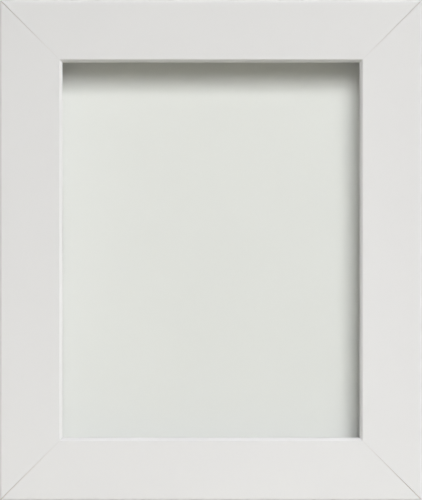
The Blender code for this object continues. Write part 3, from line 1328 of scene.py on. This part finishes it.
@dataclass
class Moulding:
    """The mitred rails: lacquered where they show, bare in the rebate and on the back.

    Attributes:
        wedges: The wedges, which the slots follow.
        face: The moulding's width, seen from the front.
        lip_width: How far the lip reaches over the picture.
        lip_thickness: The lip's depth, from the face to the rebate.
        outer_radius: The rounding of the outer front edge.
        bevel: The width of the sloped strip round the opening.
        bevel_radius: The rounding of the strip's two edges.
        back_radius: The rounding of the outer back edge.
        upper_gap: How far the upper mitres stand open, on the face at their outer ends.
        lower_gap: The same for the lower mitres.
        closed_share: The part of a gap that is left at the mitre's inner end.
        back_share: The part of a gap that is left at the back.
        ease: The rounding along the mitres, at their outer ends.
        arc_steps: How finely the roundings are cut.
    """

    wedges: Wedges
    face: float = 0.0416
    lip_width: float = 0.0060
    lip_thickness: float = 0.0060
    outer_radius: float = 0.0026
    bevel: float = 0.0020
    bevel_radius: float = 0.0003
    back_radius: float = 0.0005
    upper_gap: float = 0.00017
    lower_gap: float = 0.00024
    closed_share: float = 0.10
    back_share: float = 0.08
    ease: float = 0.00014
    arc_steps: int = 8

    def section(self) -> tuple[Outline, list[Skin]]:
        """Draws the moulding's section.

        Returns:
            Its points, as distance in from the outer edge and place along Y, and the surface of the side
            that starts at each point.
        """
        low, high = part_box(Rail.BOTTOM.node)
        front, back = low.y, high.y
        radius, bend, steps = self.outer_radius, self.bevel_radius, self.arc_steps // 2
        outer = arc((radius, front + radius), radius, 180.0, 270.0, self.arc_steps)
        set_back = self.bevel + bend * math.tan(QUARTER_TURN / 4)
        sight = arc((self.face - set_back, front + bend), bend, 270.0, 315.0, steps)
        sight += arc((self.face - bend, front + set_back), bend, 315.0, 360.0, steps)
        wall, ledge = self.face - self.lip_width, front + self.lip_thickness
        rebate = [(self.face, ledge), (wall, ledge), (wall, back)]
        radius = self.back_radius
        rear = arc((radius, back - radius), radius, 90.0, 180.0, self.arc_steps)
        skins = [Skin.LACQUERED] * (len(outer) + len(sight))
        skins += [Skin.BARE] * len(rebate) + [Skin.LACQUERED] * len(rear)
        return outer + sight + rebate + rear, skins

    def open_share(self, inward: float) -> float:
        """How much of a mitre's gap and rounding is left, at a distance in from the outer edge."""
        return 1.0 + (self.closed_share - 1.0) * inward / self.face

    def gap(self, rail: Rail, side: int) -> float:
        """How far the mitre at one end of a rail stands open, on the face at its outer end."""
        end = self.placing(rail) @ Vector((side * self.length(rail) / 2, 0.0, 0.0))
        return self.upper_gap if end.z > self.face else self.lower_gap

    def cut_back(self, gap: float, point: Point) -> float:
        """Works out how far a mitred end stays back from the true mitre.

        Args:
            gap: How far the mitre stands open, on the face at its outer end.
            point: A point of the section.

        Returns:
            The distance along the rail, at that point.
        """
        low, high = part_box(Rail.BOTTOM.node)
        behind = (point[1] - low.y) / (high.y - low.y)
        depth_share = 1.0 + (self.back_share - 1.0) * behind
        return gap * self.open_share(point[0]) * depth_share / math.sqrt(2.0)

    def length(self, rail: Rail) -> float:
        """The outer length of a rail."""
        low, high = CAD_BOX
        return high[2] - low[2] if rail.upright else high[0] - low[0]

    def placing(self, rail: Rail) -> Matrix:
        """Finds a rail's place.

        Args:
            rail: Which rail it is.

        Returns:
            What carries it from where it is drawn, along X with its outer edge on Z = 0, to its place.
        """
        low, high = CAD_BOX
        middle = Vector(((low[0] + high[0]) / 2, 0.0, (low[2] + high[2]) / 2))
        across = (high[0] - low[0]) / 2 if rail.upright else (high[2] - low[2]) / 2
        turned = Matrix.Rotation(rail.turn, 4, "Y")
        return Matrix.Translation(middle) @ turned @ Matrix.Translation((0.0, 0.0, -across))

    def blank(self, rail: Rail) -> Mesh:
        """Makes one rail without its slots.

        Args:
            rail: Which rail it is.

        Returns:
            Its mesh, in place, with its surfaces as materials and a UV map along the grain.
        """
        outline, skins = self.section()
        half = self.length(rail) / 2
        mesh = bmesh.new()
        grain = mesh.loops.layers.uv.new("grain")
        rings = []
        for side, shrink in ((-1, True), (-1, False), (1, False), (1, True)):
            ring = []
            for point, smaller in zip(outline, drawn_in(outline, self.ease)):
                share = self.open_share(point[0])
                inward, depth = Vector(point).lerp(Vector(smaller), share) if shrink else point
                step_back = 0.0 if shrink else self.ease * share
                along = half - point[0] - self.cut_back(self.gap(rail, side), point) - step_back
                ring.append(mesh.verts.new((side * along, depth, inward)))
            rings.append(ring)
        for ring in (rings[0], rings[-1]):
            mesh.faces.new(ring).material_index = Skin.BARE.value
        for first, second in zip(rings, rings[1:]):
            for face, skin in zip(add_band(mesh, first, second), skins):
                face.material_index = skin.value
        for face in mesh.faces:
            for loop in face.loops:
                spot = loop.vert.co
                loop[grain].uv = (spot.x, spot.z + spot.y)
        mesh.transform(self.placing(rail))
        return finish_mesh(mesh, rail.node)

    def build(self, shop: Workshop) -> None:
        """Makes the rails, cuts their slots and hands them over.

        Args:
            shop: The workshop, which takes the pieces.
        """
        slots = self.wedges.slots()
        lacquer, wood = shop.palette.lacquer, shop.palette.wood
        for rail in Rail:
            name = rail.node + "_moulding"
            blank, cutter = self.blank(rail), slots.copy()
            for data in (blank, cutter):
                data.materials.append(shop.material(lacquer))
                data.materials.append(shop.material(wood))
            cutter.polygons.foreach_set("material_index", [Skin.BARE.value] * len(cutter.polygons))
            slotted = combined(blank, cutter, Joining.CUT, name)
            shop.hand_over(name, slotted, lacquer, BOX_BODY, [rail.node])


@dataclass
class Sheets:
    """The flat pieces in the rebate: the glass, the spacers, the card and the board.

    Attributes:
        glass_ease: The ground edge of the glass.
        board_ease: The sawn edge of the board, the card and the spacers.
        segments: How finely the edges are rounded.
        roundness: The edges' section, from hollow at 0 through round at a half to square at 1.
    """

    glass_ease: float = 0.00035
    board_ease: float = 0.00025
    segments: int = 3
    roundness: float = 0.5

    def slab(self, node: str, ease: float) -> Mesh:
        """Makes a rectangular piece with rounded edges in a node's place.

        Args:
            node: The CAD node.
            ease: The rounding of its edges.

        Returns:
            The piece's mesh.
        """
        low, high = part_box(node)
        mesh = bmesh.new()
        bmesh.ops.create_cube(mesh, size=1.0)
        mesh.transform(Matrix.Translation((low + high) / 2) @ Matrix.Diagonal((*size_of(node), 1.0)))
        rounding = {"offset": ease, "segments": self.segments, "profile": self.roundness}
        bmesh.ops.bevel(mesh, geom=mesh.edges[:], affect="EDGES", **rounding)
        return finish_mesh(mesh, node)

    def build(self, shop: Workshop) -> None:
        """Makes the sheets and the spacers and hands them over.

        Args:
            shop: The workshop, which takes the pieces.
        """
        palette = shop.palette
        finishes = {"glass_pane": palette.glass, "display_card": palette.card, "back_board": palette.board}
        for side in ("top", "bottom", "left", "right"):
            finishes[side + "_spacer"] = palette.spacer
        for node, finish in finishes.items():
            ease = self.glass_ease if finish is palette.glass else self.board_ease
            shop.hand_over(node + "_sheet", self.slab(node, ease), finish, BOX_BODY, [node])


@dataclass
class Screws:
    """The pan-head screws.

    Attributes:
        head_radius: The head's radius.
        head_height: The head's height.
        seat_share: The radius of the head's underside, as a share of the head's.
        rim: The height of the head's straight rim.
        rim_start: Where the rim starts, as a share of its height.
        dome_steps: How finely the top of the head is cut.
        shank_radius: The shank's radius, to the crest of its thread.
        root_radius: The shank's radius, to the root of its thread.
        pitch: From crest to crest.
        point_turns: Over how many turns of the thread the point tapers.
        tip_turns: How many turns the bare tip takes, and as many the plain neck under the head.
        recess_span: The cross recess, tip to tip.
        recess_width: The width of its arms.
        recess_depth: How deep it goes.
        recess_taper: How much of its size is left at its floor.
        sides: How many flats go round a screw.
    """

    head_radius: float = 0.0030
    head_height: float = 0.0020
    seat_share: float = 0.96
    rim: float = 0.0005
    rim_start: float = 0.3
    dome_steps: int = 10
    shank_radius: float = 0.00142
    root_radius: float = 0.00108
    pitch: float = 0.0011
    point_turns: int = 4
    tip_turns: int = 2
    recess_span: float = 0.0034
    recess_width: float = 0.0009
    recess_depth: float = 0.0013
    recess_taper: float = 0.45
    sides: int = 48

    def places(self) -> dict[str, Place]:
        """Finds the screws.

        Returns:
            The seat of each screw's head, by node.
        """
        turns = {button.screw: button.turn for button in Button}
        turns.update({hanger.node("screw"): hanger.screw_turn for hanger in Hanger})
        found = {}
        for node, turn in turns.items():
            found[node] = Place(seated(node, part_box(node)[1].y - self.head_height), turn)
        return found

    def profile(self, length: float) -> Outline:
        """Draws the screw's outline from its point to the top of its head.

        Args:
            length: The length under the head.

        Returns:
            Radius and height of each ring, with the head's underside at zero.
        """
        points = [(0.0, -length)]
        height = -length + self.tip_turns * self.pitch
        while height < -self.tip_turns * self.pitch:
            taper = min(1.0, (height + length) / (self.point_turns * self.pitch))
            points.append((self.root_radius * taper, height - self.pitch / 2))
            points.append((self.shank_radius * taper, height))
            height += self.pitch
        points += [(self.root_radius, height - self.pitch / 2), (self.shank_radius, height)]
        points += [(self.shank_radius, 0.0), (self.head_radius * self.seat_share, 0.0)]
        points.append((self.head_radius, self.rim * self.rim_start))
        dome = self.head_height - self.rim
        for u, v in arc(AXIS, 1.0, 0.0, 90.0, self.dome_steps):
            points.append((self.head_radius * u, self.rim + dome * v))
        return points

    def cross(self, scale: float) -> Outline:
        """Draws the cross recess.

        Args:
            scale: Its size, as a share of its size at the top of the head.

        Returns:
            The points of the cross.
        """
        long, short = scale * self.recess_span / 2, scale * self.recess_width / 2
        arm = [(long, -short), (long, short), (short, short)]
        points = list(arm)
        for _ in range(3):
            arm = [(-v, u) for u, v in arm]
            points += arm
        return points

    def recess(self) -> Mesh:
        """Makes what is cut from the head.

        Returns:
            The mesh of a tapered cross.
        """
        mesh = bmesh.new()
        growth = (1.0 - self.recess_taper) / self.recess_depth
        levels = []
        for height in (-self.recess_depth, self.recess_depth):
            ring = add_ring(mesh, self.cross(1.0 + growth * height), self.head_height + height)
            mesh.faces.new(ring)
            levels.append(ring)
        add_band(mesh, *levels)
        return finish_mesh(mesh, "recess")

    def build(self, shop: Workshop) -> None:
        """Makes the screws and hands them over as one piece.

        Args:
            shop: The workshop, which takes the pieces.
        """
        places = self.places()
        length = size_of(next(iter(places))).y - self.head_height
        body = bmesh.new()
        add_turned(body, self.profile(length), self.sides)
        single = combined(finish_mesh(body, "screw"), self.recess(), Joining.CUT, "cross_head_screw")
        shop.hand_over_copies("pan_head_screws", single, shop.palette.zinc, places)


@dataclass
class TurnButtons:
    """The turn buttons that hold the board in.

    Attributes:
        head_radius: The rounding at the pivot.
        head_steps: How finely it is cut.
        tip_radius: The rounding at the tip.
        tip_steps: How finely it is cut.
        reach: From the pivot to the centre of the tip's rounding.
        hole_radius: The pivot hole's radius.
        bead_length: The length of the pressed bead.
        bead_width: The width of the pressed bead.
        bead_height: How far the bead stands up.
        bead_sides: How many flats go round the bead, and from end to end.
        ease: The rounding of the edges.
        ease_segments: How finely they are rounded.
    """

    head_radius: float = 0.0050
    head_steps: int = 40
    tip_radius: float = 0.0035
    tip_steps: int = 20
    reach: float = 0.0170
    hole_radius: float = 0.0016
    bead_length: float = 0.0100
    bead_width: float = 0.0024
    bead_height: float = 0.0006
    bead_sides: tuple[int, int] = (32, 16)
    ease: float = 0.00022
    ease_segments: int = 3

    def plate(self, thickness: float) -> Mesh:
        """Makes the flat plate with its hole.

        Args:
            thickness: The plate's thickness.

        Returns:
            Its mesh, with its pivot at the origin and its tip along +X.
        """
        lean = math.degrees(math.acos((self.head_radius - self.tip_radius) / self.reach))
        outline = arc(AXIS, self.head_radius, lean, 360.0 - lean, self.head_steps)
        outline += arc((self.reach, 0.0), self.tip_radius, -lean, lean, self.tip_steps)
        mesh = bmesh.new()
        add_plate(mesh, [outline, circle(AXIS, self.hole_radius, HOLE_SIDES)], 0.0, thickness)
        return eased(finish_mesh(mesh, "button_plate"), self.ease, self.ease_segments, "button_eased")

    def bead(self, thickness: float) -> Mesh:
        """Makes the bead that is pressed up between the pivot and the tip.

        Args:
            thickness: The plate's thickness.

        Returns:
            Its mesh, half sunk in the plate's upper side.
        """
        around, along = self.bead_sides
        mesh = bmesh.new()
        bmesh.ops.create_uvsphere(mesh, u_segments=around, v_segments=along, radius=1.0)
        middle = (self.head_radius + self.reach + self.tip_radius) / 2
        stretch = Matrix.Diagonal((self.bead_length / 2, self.bead_width / 2, self.bead_height, 1.0))
        mesh.transform(Matrix.Translation((middle, 0.0, thickness)) @ stretch)
        return finish_mesh(mesh, "button_bead")

    def build(self, shop: Workshop) -> None:
        """Makes the buttons and hands each over to its own body.

        Args:
            shop: The workshop, which takes the pieces.
        """
        thickness = size_of(Button.TOP.node).y
        shape = combined(self.plate(thickness), self.bead(thickness), Joining.FUSE, "turn_button")
        for button in Button:
            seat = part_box(button.node)[0].y
            data = shape.copy()
            data.transform(Place(seated(button.screw, seat), button.turn).matrix())
            shop.hand_over(button.node + "_plate", data, shop.palette.zinc, button.node, [button.node])


@dataclass
class Hangers:
    """The strap hangers and their D-rings.

    Attributes:
        width: The strap's width.
        thickness: The strap's thickness.
        end_steps: How finely the strap's round end is cut.
        barrel_radius: The outside of the rolled barrel.
        bore_radius: The inside of the rolled barrel.
        barrel_sides: How many flats go round the barrel.
        hole_radius: The screw hole's radius.
        ease: The rounding of the strap's edges.
        ease_segments: How finely they are rounded.
        wire_radius: The ring's wire.
        wire_sides: How many flats go round the wire.
        half_width: Half the ring's width, at the wire's centre.
        leg: The ring's straight legs.
        bow_steps: How finely the ring's bow is cut.
        corner_radius: The bend at each end of the ring's bar.
        corner_steps: How finely these bends are cut.
    """

    width: float = 0.0090
    thickness: float = 0.0014
    end_steps: int = 24
    barrel_radius: float = 0.0019
    bore_radius: float = 0.0012
    barrel_sides: int = 40
    hole_radius: float = 0.0016
    ease: float = 0.00018
    ease_segments: int = 2
    wire_radius: float = 0.0009
    wire_sides: int = 16
    half_width: float = 0.0080
    leg: float = 0.0030
    bow_steps: int = 40
    corner_radius: float = 0.0020
    corner_steps: int = 8

    def place(self, hanger: Hanger) -> Place:
        """Finds a hanger's place.

        Args:
            hanger: Which hanger it is.

        Returns:
            Where its barrel's axis meets the seat of its strap, with its ring turned inwards.
        """
        low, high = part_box(hanger.node("strap"))
        inner = high.x - self.barrel_radius if hanger is Hanger.LEFT else low.x + self.barrel_radius
        return Place(Vector((inner, low.y, (low.z + high.z) / 2)), hanger.turn)

    def strap(self, length: float, screw_offset: float) -> Mesh:
        """Makes one strap, drawn with its barrel along Y over the origin.

        Args:
            length: From the barrel's axis to the strap's far end.
            screw_offset: From the barrel's axis to the screw.

        Returns:
            The strap's mesh.
        """
        half = self.width / 2
        root = -(self.barrel_radius + self.bore_radius) / 2
        outline = [(root, -half), (root, half)]
        outline += arc((half - length, 0.0), half, 90.0, 270.0, self.end_steps)
        hole = circle((-screw_offset, 0.0), self.hole_radius, HOLE_SIDES)
        plate = bmesh.new()
        add_plate(plate, [outline, hole], 0.0, self.thickness)
        flat = finish_mesh(plate, "strap_plate")
        radii = (self.barrel_radius, self.bore_radius)
        rings = [circle(AXIS, radius, self.barrel_sides) for radius in radii]
        barrel = bmesh.new()
        add_plate(barrel, rings, -half, half)
        upright = Matrix.Rotation(QUARTER_TURN, 4, "X")
        barrel.transform(Matrix.Translation((0.0, 0.0, self.barrel_radius)) @ upright)
        joined = combined(flat, finish_mesh(barrel, "strap_barrel"), Joining.FUSE, "strap")
        return eased(joined, self.ease, self.ease_segments, "strap_eased")

    def ring_path(self) -> list[Vector]:
        """Draws the centre line of a D-ring.

        Returns:
            Its points, with its bar along Y and its bow dropped onto the stile.
        """
        bend, straight = self.corner_radius, self.half_width - self.corner_radius
        flat = arc((bend, -straight), bend, 180.0, 270.0, self.corner_steps)
        flat += arc((self.leg, 0.0), self.half_width, -90.0, 90.0, self.bow_steps)
        flat += arc((bend, straight), bend, 90.0, 180.0, self.corner_steps)
        tilt = math.asin((self.barrel_radius - self.wire_radius) / (self.leg + self.half_width))
        return [Vector((u * math.cos(tilt), v, -u * math.sin(tilt))) for u, v in flat]

    def build(self, shop: Workshop) -> None:
        """Makes the straps and rings and hands them over.

        Args:
            shop: The workshop, which takes the pieces.
        """
        nickel = shop.palette.nickel
        for hanger in Hanger:
            strap_node, ring_node = hanger.node("strap"), hanger.node("ring")
            place = self.place(hanger)
            screw_offset = abs(seated(hanger.node("screw"), place.at.y).x - place.at.x)
            strap = self.strap(size_of(strap_node).x - self.barrel_radius, screw_offset)
            strap.transform(place.matrix())
            shop.hand_over(strap_node + "_plate", strap, nickel, BOX_BODY, [strap_node])
            name, path = ring_node + "_wire", self.ring_path()
            ring = shop.wire.draw(path, self.wire_radius, self.wire_sides, shop.material(nickel), name)
            axis = Place(place.at + Vector((0.0, self.barrel_radius, 0.0)), place.turn)
            ring.transform(axis.matrix())
            shop.hand_over(name, ring, nickel, ring_node, [ring_node])


@dataclass
class Bumpers:
    """The rubber bumpers low on the back.

    Attributes:
        rounding: The rounding of the top.
        rounding_steps: How finely it is cut.
        foot: The width and height of the thin rim where it is stuck on.
        hollow: From the foot up to the waist, each point's place outwards and upwards, counted in feet.
        sides: How many flats go round it.
    """

    rounding: float = 0.0018
    rounding_steps: int = 12
    foot: float = 0.0004
    hollow: tuple[Point, ...] = ((1.0, 1.0), (1 / 3, 1.6), (0.0, 3.0))
    sides: int = 64

    def build(self, shop: Workshop) -> None:
        """Makes the bumpers and hands them over as one piece.

        Args:
            shop: The workshop, which takes the pieces.
        """
        nodes = ("wall_bumper_left", "wall_bumper_right")
        size = size_of(nodes[0])
        radius, height = size.x / 2, size.y
        waist = radius - self.foot
        profile = [(0.0, 0.0), (radius, 0.0)]
        profile += [(waist + self.foot * out, self.foot * up) for out, up in self.hollow]
        top = (waist - self.rounding, height - self.rounding)
        profile += arc(top, self.rounding, 0.0, 90.0, self.rounding_steps)
        profile.append((0.0, height))
        mesh = bmesh.new()
        add_turned(mesh, profile, self.sides)
        places = {node: Place(seated(node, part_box(node)[0].y)) for node in nodes}
        shop.hand_over_copies("wall_bumpers", finish_mesh(mesh, "bumper"), shop.palette.rubber, places)


@dataclass(frozen=True)
class Softbox:
    """A soft lamp.

    Attributes:
        name: The lamp's name.
        at: Where it hangs, from the middle of the box's face.
        aim: What it is turned to, from the middle of the box's face.
        size: Its width and height.
        spread: How wide its beam opens, in degrees.
        power: Its power in watts.
        colour: Its colour.
    """

    name: str
    at: Spot
    aim: Spot
    size: Point
    spread: float
    power: float
    colour: Colour = (1.0, 1.0, 1.0)

    def hang(self, middle: Vector) -> None:
        """Hangs the lamp.

        Args:
            middle: The middle of the box's face.
        """
        data = bpy.data.lights.new(self.name, "AREA")
        data.shape = "RECTANGLE"
        data.size, data.size_y = self.size
        data.spread = math.radians(self.spread)
        data.energy = self.power
        data.color = self.colour
        item = add_object(self.name, data)
        item.location = middle + Vector(self.at)
        item.rotation_euler = (Vector(self.aim) - Vector(self.at)).to_track_quat("-Z", "Y").to_euler()


@dataclass
class Studio:
    """The floor, the light and the camera.

    Attributes:
        image_height: The photograph's height in pixels.
        pixel: The real size of a pixel at the face of the box.
        distance: From the camera to the face of the box.
        framing: How far the camera stands to the right of and above the middle of the face.
        sensor: The camera's longer sensor side, in millimetres.
        sight: How far the camera sees.
        floor_size: The floor's side.
        floor_roughness: The floor's roughness.
        evenness: How much of the floor's tone the camera sees even where no lamp reaches.
        paper: The colour of the background and the floor, as the camera sees them.
        bounce: The part of its light that the floor throws back.
        mirrored: The colours of the studio below and above eye level, as metal and glass mirror it; the
            lower one is also the painted reflection colour of the floor in front of the box.
        mirrored_behind: The painted reflection colour that the floor behind the box glows with, as the
            metal there mirrors it.
        horizon: How far from eye level the mirrored colours are reached, as a share of the distance.
        fade: How far in front of and behind the box the floor's painted reflection colour changes.
        fill: The light from all round.
        key: The main lamp, high in front on the right.
        side: The lamp that grazes the face from the right.
        rear: The lamp that lights the back.
    """

    image_height: float = 500.0
    pixel: float = 0.00065
    distance: float = 9.0
    framing: Point = (0.0, 0.0001)
    sensor: float = 36.0
    sight: float = 50.0
    floor_size: float = 30.0
    floor_roughness: float = 0.8
    evenness: float = 0.6
    paper: Colour = (0.74, 0.735, 0.72)
    bounce: Colour = (0.36, 0.345, 0.26)
    mirrored: tuple[Colour, Colour] = ((0.05, 0.05, 0.05), (0.95, 0.95, 0.94))
    mirrored_behind: Colour = (0.46, 0.455, 0.44)
    horizon: float = 0.014
    fade: float = 0.5
    fill: Colour = (0.035, 0.033, 0.025)
    key: Softbox = Softbox(
        "key", at=(0.86, -3.90, 1.83), aim=(0.24, 0.0, -1.05), size=(2.50, 2.50), spread=60.0, power=32.2
    )
    side: Softbox = Softbox(
        "side", at=(3.40, -0.50, 0.35), aim=(0.0, 0.0, 0.0), size=(0.50, 0.80), spread=90.0, power=5.8
    )
    rear: Softbox = Softbox(
        "rear",
        at=(-1.90, 2.60, 0.90),
        aim=(0.0, 0.0, 0.0),
        size=(1.80, 1.40),
        spread=120.0,
        power=30.0,
        colour=(1.0, 0.99, 0.97),
    )

    def middle(self) -> Vector:
        """The middle of the box's face."""
        low, high = CAD_BOX
        return Vector(((low[0] + high[0]) / 2, low[1], (low[2] + high[2]) / 2))

    def camera(self) -> None:
        """Sets the camera square to the face."""
        data = bpy.data.cameras.new("camera")
        data.sensor_width = self.sensor
        data.lens = self.sensor * self.distance / (self.image_height * self.pixel)
        data.clip_end = self.sight
        item = add_object("camera", data)
        across, up = self.framing
        item.location = self.middle() + Vector((across, -self.distance, up))
        item.rotation_euler = (QUARTER_TURN, 0.0, 0.0)
        bpy.context.scene.camera = item

    def floor(self) -> None:
        """Lays the pale floor."""
        mesh = bmesh.new()
        bmesh.ops.create_grid(mesh, x_segments=1, y_segments=1, size=self.floor_size / 2)
        data = bpy.data.meshes.new("floor")
        mesh.to_mesh(data)
        mesh.free()
        data.materials.append(self.floor_material())
        add_object("floor", data)

    def floor_material(self) -> Material:
        """Makes the floor's material, which throws back less light than the camera sees and shows metal
        and glass a painted reflection.

        Returns:
            The new material.
        """
        surface = Surface("pale_floor", self.bounce, self.floor_roughness)
        tree = surface.tree
        rays = surface.add("ShaderNodeLightPath").outputs
        seen, mirrored = rays[Ray.CAMERA.value], rays[Ray.GLOSSY.value]
        surface.feed("Base Color", mixed_colour(tree, seen, self.bounce, self.paper))
        glow = surface.add("ShaderNodeEmission", Color=self.paper)
        glow_share = maths(tree, "MULTIPLY", seen, self.evenness)
        lit = mixed_shader(tree, glow_share, surface.shader.outputs[0], glow.outputs[0])
        # Painted reflection: for glossy rays the floor glows with a set colour, dark in front and grey
        # behind, instead of its lit tone.
        mirror = surface.add("ShaderNodeEmission", Color=self.painted_floor_reflection(surface))
        surface.show(mixed_shader(tree, mirrored, lit, mirror.outputs[0]))
        return surface.material

    def painted_floor_reflection(self, surface: Surface) -> Socket:
        """Makes the painted reflection colour that the floor glows with from front to back, where metal
        and glass mirror it.

        Args:
            surface: The floor's material.

        Returns:
            The colour.
        """
        place = surface.pattern(Grain.SOLID)
        behind = surface.add("ShaderNodeSeparateXYZ", Vector=place).outputs["Y"]
        tone = self.painted_reflection_edge()
        front = (-self.floor_size / 2, -self.fade, self.mirrored[0])
        back = (-self.fade, self.fade, self.mirrored_behind)
        for start, end, colour in (front, back):
            share = ranged(surface.tree, behind, start, end)
            tone = mixed_colour(surface.tree, share, tone, colour)
        return tone

    def painted_reflection_edge(self) -> Colour:
        """Works out the painted reflection colour at the floor's front edge, where the glass sees it meet
        the room.

        Returns:
            The colour.
        """
        drop = self.middle().z / (self.distance + self.floor_size / 2)
        share = (self.horizon - drop) / (2 * self.horizon)
        low, high = self.mirrored
        return tuple(Vector(low).lerp(Vector(high), share))

    def room(self, tree: Tree) -> Socket:
        """Makes the studio's colour in each direction: dark below eye level, light above it.

        Args:
            tree: The world's tree.

        Returns:
            The colour.
        """
        direction = add_node(tree, "ShaderNodeTexCoord").outputs["Generated"]
        height = add_node(tree, "ShaderNodeSeparateXYZ", Vector=direction).outputs["Z"]
        return mixed_colour(tree, ranged(tree, height, -self.horizon, self.horizon), *self.mirrored)

    def world(self) -> None:
        """Sets the fill light, and a pale background for what the camera, metal and glass see."""
        world = bpy.data.worlds.new("studio")
        bpy.context.scene.world = world
        world.use_nodes = True
        tree = world.node_tree
        light = tree.nodes["Background"]
        fill_in(tree, light.inputs["Color"], self.fill)
        rays = add_node(tree, "ShaderNodeLightPath").outputs
        shown = light.outputs[0]
        for ray, colour in ((Ray.CAMERA, self.paper), (Ray.GLOSSY, self.room(tree))):
            seen = add_node(tree, "ShaderNodeBackground", Color=colour)
            shown = mixed_shader(tree, rays[ray.value], shown, seen.outputs[0])
        fill_in(tree, tree.nodes["World Output"].inputs["Surface"], shown)

    def build(self) -> None:
        """Sets up the studio."""
        self.camera()
        self.floor()
        self.world()
        for softbox in (self.key, self.side, self.rear):
            softbox.hang(self.middle())
        bpy.context.scene.view_settings.view_transform = "Standard"


def main() -> None:
    """Builds the box's sub-assemblies in order, then the studio, and reports each piece."""
    logging.basicConfig(level=logging.INFO, format="%(message)s")
    shop = Workshop()
    wedges = Wedges()
    for assembly in (Moulding(wedges), wedges, Sheets(), TurnButtons(), Hangers(), Screws(), Bumpers()):
        assembly.build(shop)
    for piece, body in shop.pieces:
        LOG.info("%s: %d faces on %s", piece.name, len(piece.data.polygons), body)
    Studio().build()


if __name__ == "__main__":
    main()
